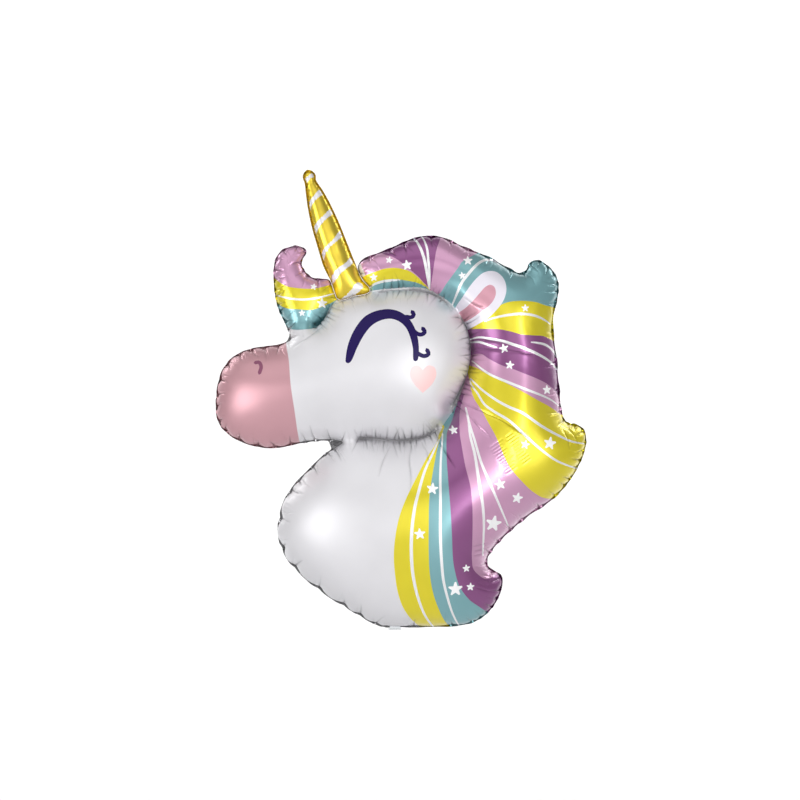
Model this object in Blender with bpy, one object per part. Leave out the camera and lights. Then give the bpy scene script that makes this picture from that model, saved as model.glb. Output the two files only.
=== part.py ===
"""Foil balloon shaped as a unicorn's head in profile, with its horn, valve and fill tail.

Two printed film sheets are welded together round the edge and along the outline of the head.
The horn is a gold pocket of its own that nods at its base. The fill tail is a flat tube that
folds at the bottom seam. Metres, +Z up. The balloon lies in the XZ plane, its front faces -Y,
and the origin is at the middle of the filling neck, on the lower edge of the bottom seam.
"""
import math

import bpy
import numpy as np
from mathutils.geometry import delaunay_2d_cdt

# Overall sizes, measured between the weld lines.
BODY_WIDTH = 0.708
BODY_HEIGHT = 0.751
HORN_LENGTH = 0.252
HORN_BASE_WIDTH = 0.057
PUFF = 0.85                      # height of the gas pocket against a full round tube

# Seams.
SEAM_WIDTH = 0.007
HORN_SEAM_WIDTH = 0.004
HEAD_WELD_WIDTH = 0.006
HORN_CLEARANCE = 0.0008          # running gap between the horn's edge and its notch

# Thicknesses. Thin film stands this thick, so that it is a solid.
FILM = 0.0005
WELD_FILM = 0.0004
LAYER_GAP = 0.0003
VALVE_FILM = 0.00015
VALVE_GAP = 0.00015              # half the gap between the two valve films

# Valve and fill tail.
VALVE_WIDTH = 0.020
VALVE_LENGTH = 0.110
VALVE_SIDE_GAP = 0.001
TAIL_WIDTH = 0.025
TAIL_LENGTH = 0.055
TAIL_SEAL_WIDTH = 0.003
TAIL_CORNER = 0.006
TAIL_AXIS_DROP = 0.001           # the fold's axis below the seam's lower edge
TAIL_ROOT = 0.0017               # nearest film to the fold's axis
TAIL_REST = math.radians(90)     # folded back under the balloon

# Mesh fineness.
SAG = 0.0009                     # how far an outline may cut its curve
FINE_SAG = 0.0003                # the same where the horn fits its notch
LONGEST_STEP = 0.024
HORN_LONGEST_STEP = 0.016
GRID_STEP = 0.034
HORN_GRID_STEP = 0.016
FIRST_ROW = 0.004
SECOND_ROW = 0.012

SHEET_INSIDE = WELD_FILM / 2 + LAYER_GAP

# Weld line of the body, anticlockwise from the top of the muzzle, drawn in metres.
MUZZLE = [
    (-0.200, 0.566), (-0.208, 0.553), (-0.227, 0.546), (-0.258, 0.542), (-0.289, 0.535),
    (-0.316, 0.519), (-0.333, 0.493), (-0.341, 0.454), (-0.342, 0.425), (-0.335, 0.397),
    (-0.310, 0.374), (-0.272, 0.359), (-0.233, 0.355), (-0.196, 0.361), (-0.157, 0.367),
    (-0.122, 0.368), (-0.105, 0.365), (-0.100, 0.360), (-0.107, 0.354),
]
CHEST = [
    (-0.130, 0.339), (-0.163, 0.307), (-0.194, 0.274), (-0.214, 0.233), (-0.221, 0.188),
    (-0.208, 0.145), (-0.178, 0.109), (-0.134, 0.073), (-0.083, 0.041), (-0.047, 0.019),
    (-0.028, 0.009), (-0.016, 0.007), (0.016, 0.007), (0.058, 0.007), (0.097, 0.008),
    (0.130, 0.011),
]
TAIL_CURL = [
    (0.157, 0.019), (0.180, 0.037), (0.196, 0.061), (0.204, 0.085), (0.203, 0.100),
    (0.193, 0.109), (0.179, 0.117), (0.175, 0.128), (0.178, 0.141),
]
BACK = [
    (0.188, 0.157), (0.217, 0.188), (0.262, 0.225), (0.303, 0.253), (0.334, 0.288),
    (0.356, 0.326), (0.366, 0.355), (0.366, 0.377), (0.356, 0.391), (0.340, 0.394),
    (0.327, 0.402), (0.320, 0.420), (0.316, 0.456), (0.310, 0.524), (0.303, 0.586),
    (0.306, 0.617), (0.312, 0.645),
]
MANE_TIP = [
    (0.313, 0.667), (0.306, 0.687), (0.290, 0.704), (0.277, 0.711), (0.267, 0.710),
    (0.261, 0.702), (0.256, 0.692), (0.244, 0.686), (0.229, 0.691),
]
MANE_TOP = [
    (0.204, 0.705), (0.169, 0.723), (0.130, 0.738), (0.097, 0.753), (0.068, 0.758),
    (0.033, 0.752), (-0.004, 0.736), (-0.039, 0.722), (-0.060, 0.713),
]
FORELOCK = [
    (-0.151, 0.675), (-0.167, 0.681), (-0.179, 0.694), (-0.185, 0.708), (-0.182, 0.719),
    (-0.176, 0.727), (-0.178, 0.735), (-0.192, 0.739), (-0.210, 0.735), (-0.223, 0.725),
    (-0.230, 0.707), (-0.231, 0.679), (-0.229, 0.651), (-0.222, 0.621), (-0.211, 0.597),
]
DRAWN_WIDTH = 0.708
DRAWN_HEIGHT = 0.751
SEAM_LEVEL = 0.007               # the bottom weld line above the origin

# Welds inside the outline, which set the head apart as a cushion of its own.
HEAD_WELDS = {
    "head_seal_brow": [(-0.121, 0.632), (-0.134, 0.607), (-0.155, 0.586)],
    "head_seal_crown": [
        (-0.031, 0.652), (-0.008, 0.657), (0.019, 0.658), (0.048, 0.655), (0.076, 0.647),
        (0.099, 0.633),
    ],
    "head_seal_cheek": [
        (0.128, 0.603), (0.141, 0.578), (0.146, 0.549), (0.146, 0.518), (0.138, 0.487),
        (0.124, 0.457), (0.109, 0.428),
    ],
    "head_seal_jaw": [
        (0.081, 0.388), (0.062, 0.375), (0.037, 0.368), (0.010, 0.365), (-0.019, 0.367),
        (-0.048, 0.370), (-0.071, 0.368),
    ],
}

# Horn's base on top of the head, drawn in metres, and its slope.
HORN_BASE = (-0.079, 0.645)
HORN_SLOPE = math.radians(14.6)

# Weld line of the horn, anticlockwise from its left base corner. The first value runs across
# the base and the second up the horn.
HORN_OUTLINE = [
    (-0.0285, 0.0045), (0.0, 0.004), (0.0285, 0.0045), (0.019, 0.026), (0.014, 0.060),
    (0.009, 0.100), (0.004, 0.140), (-0.003, 0.180), (-0.011, 0.212), (-0.019, 0.236),
    (-0.0175, 0.248), (-0.026, 0.256), (-0.0345, 0.249), (-0.034, 0.238), (-0.036, 0.222),
    (-0.040, 0.190), (-0.042, 0.150), (-0.041, 0.110), (-0.039, 0.068), (-0.0335, 0.044),
    (-0.031, 0.020),
]
HORN_DRAWN_LENGTH = 0.252
HORN_DRAWN_WIDTH = 0.057
NOTCH_LEFT_HEIGHT = 0.040        # how far up the horn the forelock and the mane reach
NOTCH_RIGHT_HEIGHT = 0.052
HORN_ELBOW_ROOM = 0.120          # head welds nearer than this make way for a wider horn

COLOURS = {
    "front_sheet": ((0.80, 0.78, 0.82), 0.30, 0.35),
    "rear_sheet": ((0.78, 0.76, 0.80), 0.30, 0.35),
    "edge_seal": ((0.62, 0.45, 0.60), 0.40, 0.40),
    "head_seal_brow": ((0.70, 0.70, 0.74), 0.40, 0.40),
    "head_seal_crown": ((0.70, 0.70, 0.74), 0.40, 0.40),
    "head_seal_cheek": ((0.70, 0.70, 0.74), 0.40, 0.40),
    "head_seal_jaw": ((0.70, 0.70, 0.74), 0.40, 0.40),
    "horn_front_sheet": ((0.70, 0.45, 0.04), 0.15, 1.0),
    "horn_rear_sheet": ((0.70, 0.45, 0.04), 0.15, 1.0),
    "horn_edge_seal": ((0.55, 0.35, 0.03), 0.25, 1.0),
    "valve_front_film": ((0.85, 0.87, 0.90), 0.35, 0.0),
    "valve_rear_film": ((0.85, 0.87, 0.90), 0.35, 0.0),
    "fill_tail_front": ((0.75, 0.75, 0.78), 0.25, 0.8),
    "fill_tail_rear": ((0.75, 0.75, 0.78), 0.25, 0.8),
    "tail_side_seal_left": ((0.60, 0.60, 0.63), 0.35, 0.8),
    "tail_side_seal_right": ((0.60, 0.60, 0.63), 0.35, 0.8),
}


# ---- plane geometry ----

def spline(points, closed, per_span=24):
    """A centripetal Catmull-Rom curve through the points."""
    points = np.array(points, dtype=float)
    if closed:
        padded = np.vstack([points[-1], points, points[:2]])
    else:
        before = 2 * points[0] - points[1]
        after = 2 * points[-1] - points[-2]
        padded = np.vstack([before, points, after])
    curve = []
    for a, b, c, d in zip(padded, padded[1:], padded[2:], padded[3:]):
        curve.extend(spline_span(a, b, c, d, per_span))
    if not closed:
        curve.append(points[-1])
    return np.array(curve)


def spline_span(a, b, c, d, count):
    """Points from b up to, but not including, c."""
    ta = 0.0
    tb = ta + math.sqrt(np.linalg.norm(b - a))
    tc = tb + math.sqrt(np.linalg.norm(c - b))
    td = tc + math.sqrt(np.linalg.norm(d - c))
    span = []
    for t in np.linspace(tb, tc, count, endpoint=False):
        ab = mix(a, b, (t - ta) / (tb - ta))
        bc = mix(b, c, (t - tb) / (tc - tb))
        cd = mix(c, d, (t - tc) / (td - tc))
        abc = mix(ab, bc, (t - ta) / (tc - ta))
        bcd = mix(bc, cd, (t - tb) / (td - tb))
        span.append(mix(abc, bcd, (t - tb) / (tc - tb)))
    return span


def mix(a, b, share):
    return a + (b - a) * share


def thin_out(path, longest, sag):
    """The path with its last point left out, and each point that lies within sag of a step."""
    kept = [0]
    start = 0
    for end in range(2, len(path)):
        far = path[end] - path[start]
        length = np.linalg.norm(far)
        between = path[start + 1:end] - path[start]
        bulge = np.abs(between[:, 0] * far[1] - between[:, 1] * far[0]) / max(length, 1e-9)
        if bulge.max() > sag or length > longest:
            start = end - 1
            kept.append(start)
    return path[kept]


def outward_normals(loop):
    """Unit normals that point out of an anticlockwise loop."""
    along = np.roll(loop, -1, axis=0) - np.roll(loop, 1, axis=0)
    along /= np.linalg.norm(along, axis=1)[:, None]
    return np.column_stack([along[:, 1], -along[:, 0]])


def distance_to_loop(points, loop):
    """Distance from each point to the nearest edge of a closed loop."""
    start = loop[None, :, :]
    edge = np.roll(loop, -1, axis=0)[None, :, :] - start
    away = points[:, None, :] - start
    share = (away * edge).sum(axis=2) / np.maximum((edge * edge).sum(axis=2), 1e-18)
    share = np.clip(share, 0.0, 1.0)[:, :, None]
    return np.linalg.norm(away - share * edge, axis=2).min(axis=1)


def offset_loop(loop, widths):
    """The loop moved out by its widths, without the stretches that would cross it."""
    moved = loop + outward_normals(loop) * np.asarray(widths)[:, None]
    clear = distance_to_loop(moved, loop) > 0.96 * np.abs(widths)
    return moved[clear]


def inside(points, loop):
    """True for each point inside a closed loop."""
    x = points[:, 0][:, None]
    z = points[:, 1][:, None]
    x0, z0 = loop[:, 0][None, :], loop[:, 1][None, :]
    x1, z1 = np.roll(loop[:, 0], -1)[None, :], np.roll(loop[:, 1], -1)[None, :]
    spans = (z0 > z) != (z1 > z)
    rise = np.where(z1 == z0, 1e-12, z1 - z0)
    crossing = spans & (x < (x1 - x0) * (z - z0) / rise + x0)
    return crossing.sum(axis=1) % 2 == 1


def band(path, width, round_steps=4):
    """An anticlockwise loop round an open path, with round ends."""
    centre = spline(path, closed=False, per_span=2)
    along = np.gradient(centre, axis=0)
    along /= np.linalg.norm(along, axis=1)[:, None]
    side = np.column_stack([along[:, 1], -along[:, 0]]) * width / 2
    cap_angles = np.linspace(0, math.pi, round_steps + 2)[1:-1]
    end_cap = [turn(side[-1], angle) + centre[-1] for angle in cap_angles]
    start_cap = [turn(-side[0], angle) + centre[0] for angle in cap_angles]
    return np.vstack([centre + side, end_cap, (centre - side)[::-1], start_cap])


def turn(vector, angle):
    cos, sin = math.cos(angle), math.sin(angle)
    return np.array([vector[0] * cos - vector[1] * sin, vector[0] * sin + vector[1] * cos])


def grid(loop, step):
    """Staggered rows of points over the loop's box."""
    low, high = loop.min(axis=0), loop.max(axis=0)
    points = []
    row = 0
    level = low[1] + step / 2
    while level < high[1]:
        shift = step / 2 * (row % 2)
        points.extend([x, level] for x in np.arange(low[0] + shift, high[0], step))
        level += step * math.sqrt(3) / 2
        row += 1
    return np.array(points)


# ---- outlines ----

def place(point):
    """A drawn point at the balloon's real size."""
    x, z = point
    wide = BODY_WIDTH / DRAWN_WIDTH
    high = BODY_HEIGHT / DRAWN_HEIGHT
    return np.array([x * wide, SEAM_LEVEL + (z - SEAM_LEVEL) * high])


def horn_to_body(points):
    """From the horn's own frame to the body's plane."""
    return np.array([turn(point, HORN_SLOPE) for point in points]) + place(HORN_BASE)


def beside_horn(point):
    """A head weld's point, moved along the head by what the horn's base has grown."""
    away = place(point) - place(HORN_BASE)
    fade = max(0.0, 1.0 - np.linalg.norm(away) / HORN_ELBOW_ROOM)
    grown = (HORN_BASE_WIDTH - HORN_DRAWN_WIDTH) / 2
    return place(point) + turn((math.copysign(grown * fade, away[0]), 0.0), HORN_SLOPE)


def horn_curve():
    wide = HORN_BASE_WIDTH / HORN_DRAWN_WIDTH
    high = HORN_LENGTH / HORN_DRAWN_LENGTH
    foot = HORN_SEAM_WIDTH
    points = [(u * wide, foot + (v - foot) * high) for u, v in HORN_OUTLINE]
    return spline(points, closed=True)


def notch_path():
    """The body's weld line round the horn's foot, from the mane down and up to the forelock."""
    horn = horn_curve()
    reach = HORN_SEAM_WIDTH + HORN_CLEARANCE + HORN_SEAM_WIDTH
    around = offset_loop(horn, np.full(len(horn), reach))
    top = np.where(around[:, 0] > around[:, 0].mean(), NOTCH_RIGHT_HEIGHT, NOTCH_LEFT_HEIGHT)
    low = around[around[:, 1] < top]
    angle = np.arctan2(low[:, 1] - 0.5 * NOTCH_LEFT_HEIGHT, low[:, 0])
    from_top_right = np.argsort((-angle + math.pi / 2) % (2 * math.pi))
    return horn_to_body(low[from_top_right])


def body_loops():
    """Weld line and outer edge of the body."""
    notch = notch_path()
    drawn = MUZZLE + CHEST + TAIL_CURL + BACK + MANE_TIP + MANE_TOP
    points = [place(point) for point in FORELOCK + drawn]
    free = spline([notch[-1]] + points + [notch[0]], closed=False)
    weld = np.vstack([thin_out(free, LONGEST_STEP, SAG), thin_out(notch, LONGEST_STEP, FINE_SAG)])
    from_notch = np.linalg.norm(weld[:, None, :] - notch[None, :, :], axis=2).min(axis=1)
    share = np.clip(from_notch / (2 * SEAM_WIDTH), 0.0, 1.0)
    widths = HORN_SEAM_WIDTH + (SEAM_WIDTH - HORN_SEAM_WIDTH) * share
    return weld, offset_loop(weld, widths)


def horn_loops():
    """Weld line and outer edge of the horn, in its own frame."""
    curve = horn_curve()
    weld = thin_out(np.vstack([curve, curve[:1]]), HORN_LONGEST_STEP, FINE_SAG)
    return weld, offset_loop(weld, np.full(len(weld), HORN_SEAM_WIDTH))


# ---- meshes ----

def triangulate(loops, extra):
    """Triangles over the loops' edges and the extra points."""
    points = []
    edges = []
    for loop in loops:
        first = len(points)
        points.extend(map(tuple, loop))
        edges.extend((first + i, first + (i + 1) % len(loop)) for i in range(len(loop)))
    points.extend(map(tuple, extra))
    verts, _, faces, _, _, _ = delaunay_2d_cdt(points, edges, [], 0, 1e-7)
    return np.array([tuple(v) for v in verts]), np.array([tuple(f) for f in faces])


def gas_heights(verts, faces, weld, closed_bands):
    """Height of the filled pocket over each point, nought on the welds."""
    centres = verts[faces].mean(axis=1)
    gas = inside(centres, weld)
    for loop in closed_bands:
        gas &= ~inside(centres, loop)
    free = np.ones(len(verts), dtype=bool)
    free[faces[~gas].ravel()] = False
    stiffness = np.zeros((len(verts), len(verts)))
    load = np.zeros(len(verts))
    for face in faces[gas]:
        add_triangle(stiffness, load, verts, face)
    height = np.zeros(len(verts))
    height[free] = np.linalg.solve(stiffness[np.ix_(free, free)], load[free])
    return PUFF * np.sqrt(2.0 * np.maximum(height, 0.0))


def add_triangle(stiffness, load, verts, face):
    """One triangle's share of a stretched film under even pressure."""
    corners = verts[face]
    opposite = np.roll(corners, -2, axis=0) - np.roll(corners, -1, axis=0)
    area = 0.5 * abs(opposite[0, 0] * opposite[1, 1] - opposite[0, 1] * opposite[1, 0])
    stiffness[np.ix_(face, face)] += opposite @ opposite.T / (4.0 * area)
    load[face] += area / 3.0


def slab(name, verts, faces, near, far):
    """A closed solid between two heights along Y over the same triangles."""
    used = np.unique(faces)
    slot = {int(v): i for i, v in enumerate(used)}
    count = len(used)
    near_points = [(verts[v][0], near[v], verts[v][1]) for v in used]
    far_points = [(verts[v][0], far[v], verts[v][1]) for v in used]
    turned = anticlockwise(verts, faces)
    front = [tuple(slot[int(v)] for v in face) for face in turned]
    back = [tuple(slot[int(v)] + count for v in reversed(face)) for face in turned]
    sides = []
    for a, b in rim(turned):
        a, b = slot[a], slot[b]
        sides.append((b, a, a + count, b + count))
    mesh = bpy.data.meshes.new(name)
    mesh.from_pydata(near_points + far_points, [], front + back + sides)
    mesh.validate()
    return mesh


def anticlockwise(verts, faces):
    a, b, c = (verts[faces[:, i]] for i in range(3))
    area = (b[:, 0] - a[:, 0]) * (c[:, 1] - a[:, 1]) - (b[:, 1] - a[:, 1]) * (c[:, 0] - a[:, 0])
    return np.where((area > 0)[:, None], faces, faces[:, ::-1])


def rim(faces):
    """Edges that belong to one triangle only, in that triangle's direction."""
    edges = {(int(face[i]), int(face[(i + 1) % 3])) for face in faces for i in range(3)}
    return [(a, b) for a, b in sorted(edges) if (b, a) not in edges]


def material(name):
    colour, roughness, metallic = COLOURS[name]
    made = bpy.data.materials.new(name)
    made.use_nodes = True
    shader = made.node_tree.nodes["Principled BSDF"]
    shader.inputs["Base Color"].default_value = (*colour, 1.0)
    shader.inputs["Roughness"].default_value = roughness
    shader.inputs["Metallic"].default_value = metallic
    return made


def add_node(name, mesh, parent=None):
    mesh.materials.append(material(name))
    mesh.shade_smooth()
    mesh.set_sharp_from_angle(angle=math.radians(40))
    node = bpy.data.objects.new(name, mesh)
    bpy.context.collection.objects.link(node)
    node.parent = parent
    return node


def add_empty(name, location, turn_x=0.0, turn_y=0.0):
    empty = bpy.data.objects.new(name, None)
    bpy.context.collection.objects.link(empty)
    empty.location = location
    empty.rotation_euler = (turn_x, turn_y, 0.0)
    return empty


# ---- sub-parts ----

def add_sheets(names, weld, outer, bands, step, parent=None):
    """The front and rear film of one pocket, with their flat margins."""
    first = offset_loop(weld, np.full(len(weld), -FIRST_ROW))
    second = offset_loop(weld, np.full(len(weld), -SECOND_ROW))
    inner = grid(outer, step)
    inner = inner[distance_to_loop(inner, weld) > SECOND_ROW + step / 3]
    extra = np.vstack([first, second[::2], inner])
    extra = extra[inside(extra, weld)]
    for loop in bands:
        beside = offset_loop(loop, np.full(len(loop), FIRST_ROW))
        beyond = offset_loop(loop, np.full(len(loop), SECOND_ROW))
        room = distance_to_loop(extra, loop) > 0.7 * SECOND_ROW
        around = np.vstack([beside, beyond[::3]])
        clear = inside(around, weld) & (distance_to_loop(around, weld) > FIRST_ROW)
        extra = np.vstack([extra[room & ~inside(extra, loop)], around[clear]])
    for loop in bands:
        extra = extra[~inside(extra, loop) & (distance_to_loop(extra, loop) > FIRST_ROW / 2)]
    verts, faces = triangulate([outer, weld] + bands, extra)
    faces = faces[inside(verts[faces].mean(axis=1), outer)]
    height = gas_heights(verts, faces, weld, bands)
    inside_face = SHEET_INSIDE + height
    front = slab(names[0], verts, faces, -inside_face - FILM, -inside_face)
    rear = slab(names[1], verts, faces, inside_face, inside_face + FILM)
    add_node(names[0], front, parent)
    add_node(names[1], rear, parent)


def flat_slab(name, loops, keep, near, far, parent=None):
    """A flat solid over the triangles whose centres the test keeps."""
    verts, faces = triangulate(loops, [])
    faces = faces[keep(verts[faces].mean(axis=1))]
    level = np.ones(len(verts))
    return add_node(name, slab(name, verts, faces, near * level, far * level), parent)


def add_edge_seal(weld, outer):
    """The fused band between the margins, open where the valve passes."""
    half = VALVE_WIDTH / 2 + VALVE_SIDE_GAP
    doorway = np.array([(-half, -0.01), (half, -0.01), (half, 0.02), (-half, 0.02)])

    def fused(centres):
        return inside(centres, outer) & ~inside(centres, weld) & ~inside(centres, doorway)

    flat_slab("edge_seal", [outer, weld, doorway], fused, -WELD_FILM / 2, WELD_FILM / 2)


def add_head_seals(bands):
    for name, loop in bands.items():
        flat_slab(name, [loop], lambda centres, ring=loop: inside(centres, ring),
                  -WELD_FILM / 2, WELD_FILM / 2)


def add_horn():
    """The horn's pocket, on a pivot that lies across its base."""
    base = place(HORN_BASE)
    pivot = add_empty("horn_pivot", (base[0], 0.0, base[1]), turn_y=-HORN_SLOPE)
    weld, outer = horn_loops()
    add_sheets(("horn_front_sheet", "horn_rear_sheet"), weld, outer, [], HORN_GRID_STEP, pivot)

    def fused(centres):
        return inside(centres, outer) & ~inside(centres, weld)

    flat_slab("horn_edge_seal", [outer, weld], fused, -WELD_FILM / 2, WELD_FILM / 2, pivot)


def rectangle(low, high, corner=0.0, steps=5):
    """An anticlockwise rectangle, its two lower corners rounded."""
    (x0, z0), (x1, z1) = low, high
    if corner == 0.0:
        return np.array([(x0, z0), (x1, z0), (x1, z1), (x0, z1)])
    points = []
    for angle in np.linspace(math.pi, 1.5 * math.pi, steps):
        points.append((x0 + corner + corner * math.cos(angle),
                       z0 + corner + corner * math.sin(angle)))
    for angle in np.linspace(1.5 * math.pi, 2 * math.pi, steps):
        points.append((x1 - corner + corner * math.cos(angle),
                       z0 + corner + corner * math.sin(angle)))
    return np.array(points + [(x1, z1), (x0, z1)])


def add_valve():
    """Two soft films that close on each other above the neck."""
    loop = rectangle((-VALVE_WIDTH / 2, 0.0), (VALVE_WIDTH / 2, VALVE_LENGTH))

    def whole(centres):
        return inside(centres, loop)

    flat_slab("valve_front_film", [loop], whole, -VALVE_GAP - VALVE_FILM, -VALVE_GAP)
    flat_slab("valve_rear_film", [loop], whole, VALVE_GAP, VALVE_GAP + VALVE_FILM)


def add_tail():
    """The flat filling tube outside the seam, folded back on its pivot."""
    pivot = add_empty("tail_pivot", (0.0, 0.0, -TAIL_AXIS_DROP), turn_x=TAIL_REST)
    half = TAIL_WIDTH / 2
    end = -TAIL_ROOT - TAIL_LENGTH
    loop = rectangle((-half, end), (half, -TAIL_ROOT), TAIL_CORNER)

    def whole(centres):
        return inside(centres, loop)

    flat_slab("fill_tail_front", [loop], whole, -SHEET_INSIDE - FILM, -SHEET_INSIDE, pivot)
    flat_slab("fill_tail_rear", [loop], whole, SHEET_INSIDE, SHEET_INSIDE + FILM, pivot)
    for name, side in (("tail_side_seal_left", -1), ("tail_side_seal_right", 1)):
        near, far = sorted((side * half, side * (half - TAIL_SEAL_WIDTH)))
        strip = rectangle((near, end + TAIL_CORNER), (far, -TAIL_ROOT))
        flat_slab(name, [strip], lambda centres, ring=strip: inside(centres, ring),
                  -WELD_FILM / 2, WELD_FILM / 2, pivot)


def clear_scene():
    for item in list(bpy.data.objects):
        bpy.data.objects.remove(item, do_unlink=True)


def main():
    clear_scene()
    weld, outer = body_loops()
    bands = {name: band([beside_horn(point) for point in path], HEAD_WELD_WIDTH)
             for name, path in HEAD_WELDS.items()}
    add_sheets(("front_sheet", "rear_sheet"), weld, outer, list(bands.values()), GRID_STEP)
    add_edge_seal(weld, outer)
    add_head_seals(bands)
    add_horn()
    add_valve()
    add_tail()


main()
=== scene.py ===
"""Looks of a foil balloon shaped as a unicorn's head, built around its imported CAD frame.

The two printed sheets and the two gold horn sheets are inflated as cloth inside their weld
lines, then cut along every edge of the print, so that each ink is a patch of real film.
"""
import math

import bpy
import numpy as np
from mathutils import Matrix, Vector
from mathutils.bvhtree import BVHTree
from mathutils.geometry import delaunay_2d_cdt
from mathutils.kdtree import KDTree


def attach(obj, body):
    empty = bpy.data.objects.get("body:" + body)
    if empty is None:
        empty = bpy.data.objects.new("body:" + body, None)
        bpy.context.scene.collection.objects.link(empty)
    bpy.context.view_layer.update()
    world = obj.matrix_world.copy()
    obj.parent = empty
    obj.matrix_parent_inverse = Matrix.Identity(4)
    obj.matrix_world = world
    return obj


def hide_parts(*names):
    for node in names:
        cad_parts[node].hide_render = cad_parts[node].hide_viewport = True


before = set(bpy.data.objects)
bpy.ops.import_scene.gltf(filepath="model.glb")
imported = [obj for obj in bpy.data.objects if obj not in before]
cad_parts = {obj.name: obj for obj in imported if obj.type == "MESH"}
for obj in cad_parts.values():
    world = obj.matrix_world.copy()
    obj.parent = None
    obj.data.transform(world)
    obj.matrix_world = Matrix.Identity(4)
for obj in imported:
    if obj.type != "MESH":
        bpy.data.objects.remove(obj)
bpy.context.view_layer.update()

MARGIN_PLANE = -0.001            # front face of the flat seam margin
SEAL_PLANE = -0.0002             # front face of the fused bands
FILM = 0.00016
SKIN_GAP = 0.00025               # each skin's inner face from the seam's middle plane

PUFF = 0.80                      # height of a pocket against a full round tube
GROWTH = 0.014                   # film gathered by the welds
MARGIN_SHOWN = 0.0032            # width of welded margin seen from the front
LOBE_DEPTH = 1.35                # depth of every scallop against the one in GATHERS
BAND_TRIM = 0.0013               # film drawn over each side of a fused band
BAND_STEP = 0.003
BAND_PITCH = 0.016               # between the creases that cross a fused band
PINCH = 0.86                     # height lost between the ends of two head welds
PINCH_REACH = 0.013

# Point spacing of the films: the field, along the welds, and the rows off a weld.
SIM_FILM = (0.0065, 0.0048, [0.0004 * n * n for n in range(1, 6)])
SKIN_FILM = (0.0038, 0.0030, [0.00016 * n * n for n in range(1, 9)])
HORN_SIM_FILM = (0.0035, 0.0026, [0.0003 * n * n for n in range(1, 5)])
HORN_SKIN_FILM = (0.0024, 0.0020, [0.00014 * n * n for n in range(1, 7)])
FINE_STEP = 0.002                # a smoothed outline before it is set out in even steps
PRINT_STEP = 0.0030
PRINT_CLEAR = 0.0009             # film points kept off the edges of the print

# The film as cloth.
SIM_FRAMES = 26
GAS_PRESSURE = 100.0
BODY_MOVE = 0.012                # the most that gas may move a point
HORN_MOVE = 0.006
FILM_CLOTH = {
    "quality": 7, "mass": 0.001, "air_damping": 2.0, "pin_stiffness": 1.0,
    "tension_stiffness": 60.0, "compression_stiffness": 60.0, "shear_stiffness": 20.0,
    "bending_stiffness": 0.02, "tension_damping": 20.0, "compression_damping": 20.0,
    "shear_damping": 20.0, "shrink_min": -GROWTH, "shrink_max": -GROWTH,
    "use_pressure": True, "uniform_pressure_force": GAS_PRESSURE,
}
CALM_ROUNDS = 14                 # smoothing of the film away from its welds
CREASE_SHARE = 0.55              # how much of the film's own creasing stays beside a weld
BODY_CREASE_REACH = 0.022
HORN_CREASE_REACH = 0.004


# ---- plane geometry ----

def spline(points, closed=False, step=PRINT_STEP):
    """A centripetal Catmull-Rom curve through the points, in even steps."""
    points = np.array(points, dtype=float)
    if closed:
        padded = np.vstack([points[-1], points, points[:2]])
    else:
        padded = np.vstack([2 * points[0] - points[1], points, 2 * points[-1] - points[-2]])
    curve = []
    for a, b, c, d in zip(padded, padded[1:], padded[2:], padded[3:]):
        count = max(2, int(np.linalg.norm(c - b) / step * 2))
        curve.extend(spline_span(a, b, c, d, count))
    curve.append(points[0] if closed else points[-1])
    return resample(np.array(curve), step)[:-1 if closed else None]


def spline_span(a, b, c, d, count):
    """The span from b to c of a centripetal curve through four points."""
    tb = math.sqrt(np.linalg.norm(b - a))
    tc = tb + math.sqrt(np.linalg.norm(c - b))
    td = tc + math.sqrt(np.linalg.norm(d - c))
    t = np.linspace(tb, tc, count, endpoint=False)[:, None]
    ab = a + (b - a) * t / tb
    bc = b + (c - b) * (t - tb) / (tc - tb)
    cd = c + (d - c) * (t - tc) / (td - tc)
    abc = ab + (bc - ab) * t / tc
    bcd = bc + (cd - bc) * (t - tb) / (td - tb)
    return abc + (bcd - abc) * (t - tb) / (tc - tb)


def resample(path, step):
    """An open path in even steps, both ends kept."""
    along = lengths(path)
    count = max(2, int(round(along[-1] / step)) + 1)
    places = np.linspace(0.0, along[-1], count)
    return np.column_stack([np.interp(places, along, path[:, i]) for i in range(path.shape[1])])


def lengths(path):
    """Length of an open path up to each of its points."""
    return np.concatenate([[0.0], np.cumsum(np.linalg.norm(np.diff(path, axis=0), axis=1))])


def around(loop, step):
    """A closed loop in even steps."""
    return resample(np.vstack([loop, loop[:1]]), step)[:-1]


def normals_of(loop):
    """Unit normals that point out of an anticlockwise loop."""
    along = np.roll(loop, -1, axis=0) - np.roll(loop, 1, axis=0)
    along /= np.maximum(np.linalg.norm(along, axis=1), 1e-12)[:, None]
    return np.column_stack([along[:, 1], -along[:, 0]])


def smooth_ring(values, rounds):
    """Values round a closed loop, each averaged with its neighbours."""
    for _ in range(rounds):
        values = (np.roll(values, 1, axis=0) + 2 * values + np.roll(values, -1, axis=0)) / 4
    return values


def area_of(loop):
    """Area inside a closed loop, positive when it runs anticlockwise."""
    after = np.roll(loop, -1, axis=0)
    return 0.5 * float(np.sum(loop[:, 0] * after[:, 1] - after[:, 0] * loop[:, 1]))


def inside(points, loop):
    """True for each point inside a closed loop."""
    result = np.zeros(len(points), dtype=bool)
    low, high = loop.min(axis=0), loop.max(axis=0)
    near = np.where(((points >= low) & (points <= high)).all(axis=1))[0]
    x0, z0 = loop[:, 0], loop[:, 1]
    x1, z1 = np.roll(x0, -1), np.roll(z0, -1)
    rise = np.where(z1 == z0, 1e-12, z1 - z0)
    for start in range(0, len(near), 4000):
        part = near[start:start + 4000]
        x, z = points[part, 0][:, None], points[part, 1][:, None]
        crossing = ((z0 > z) != (z1 > z)) & (x < (x1 - x0) * (z - z0) / rise + x0)
        result[part] = crossing.sum(axis=1) % 2 == 1
    return result


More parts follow.
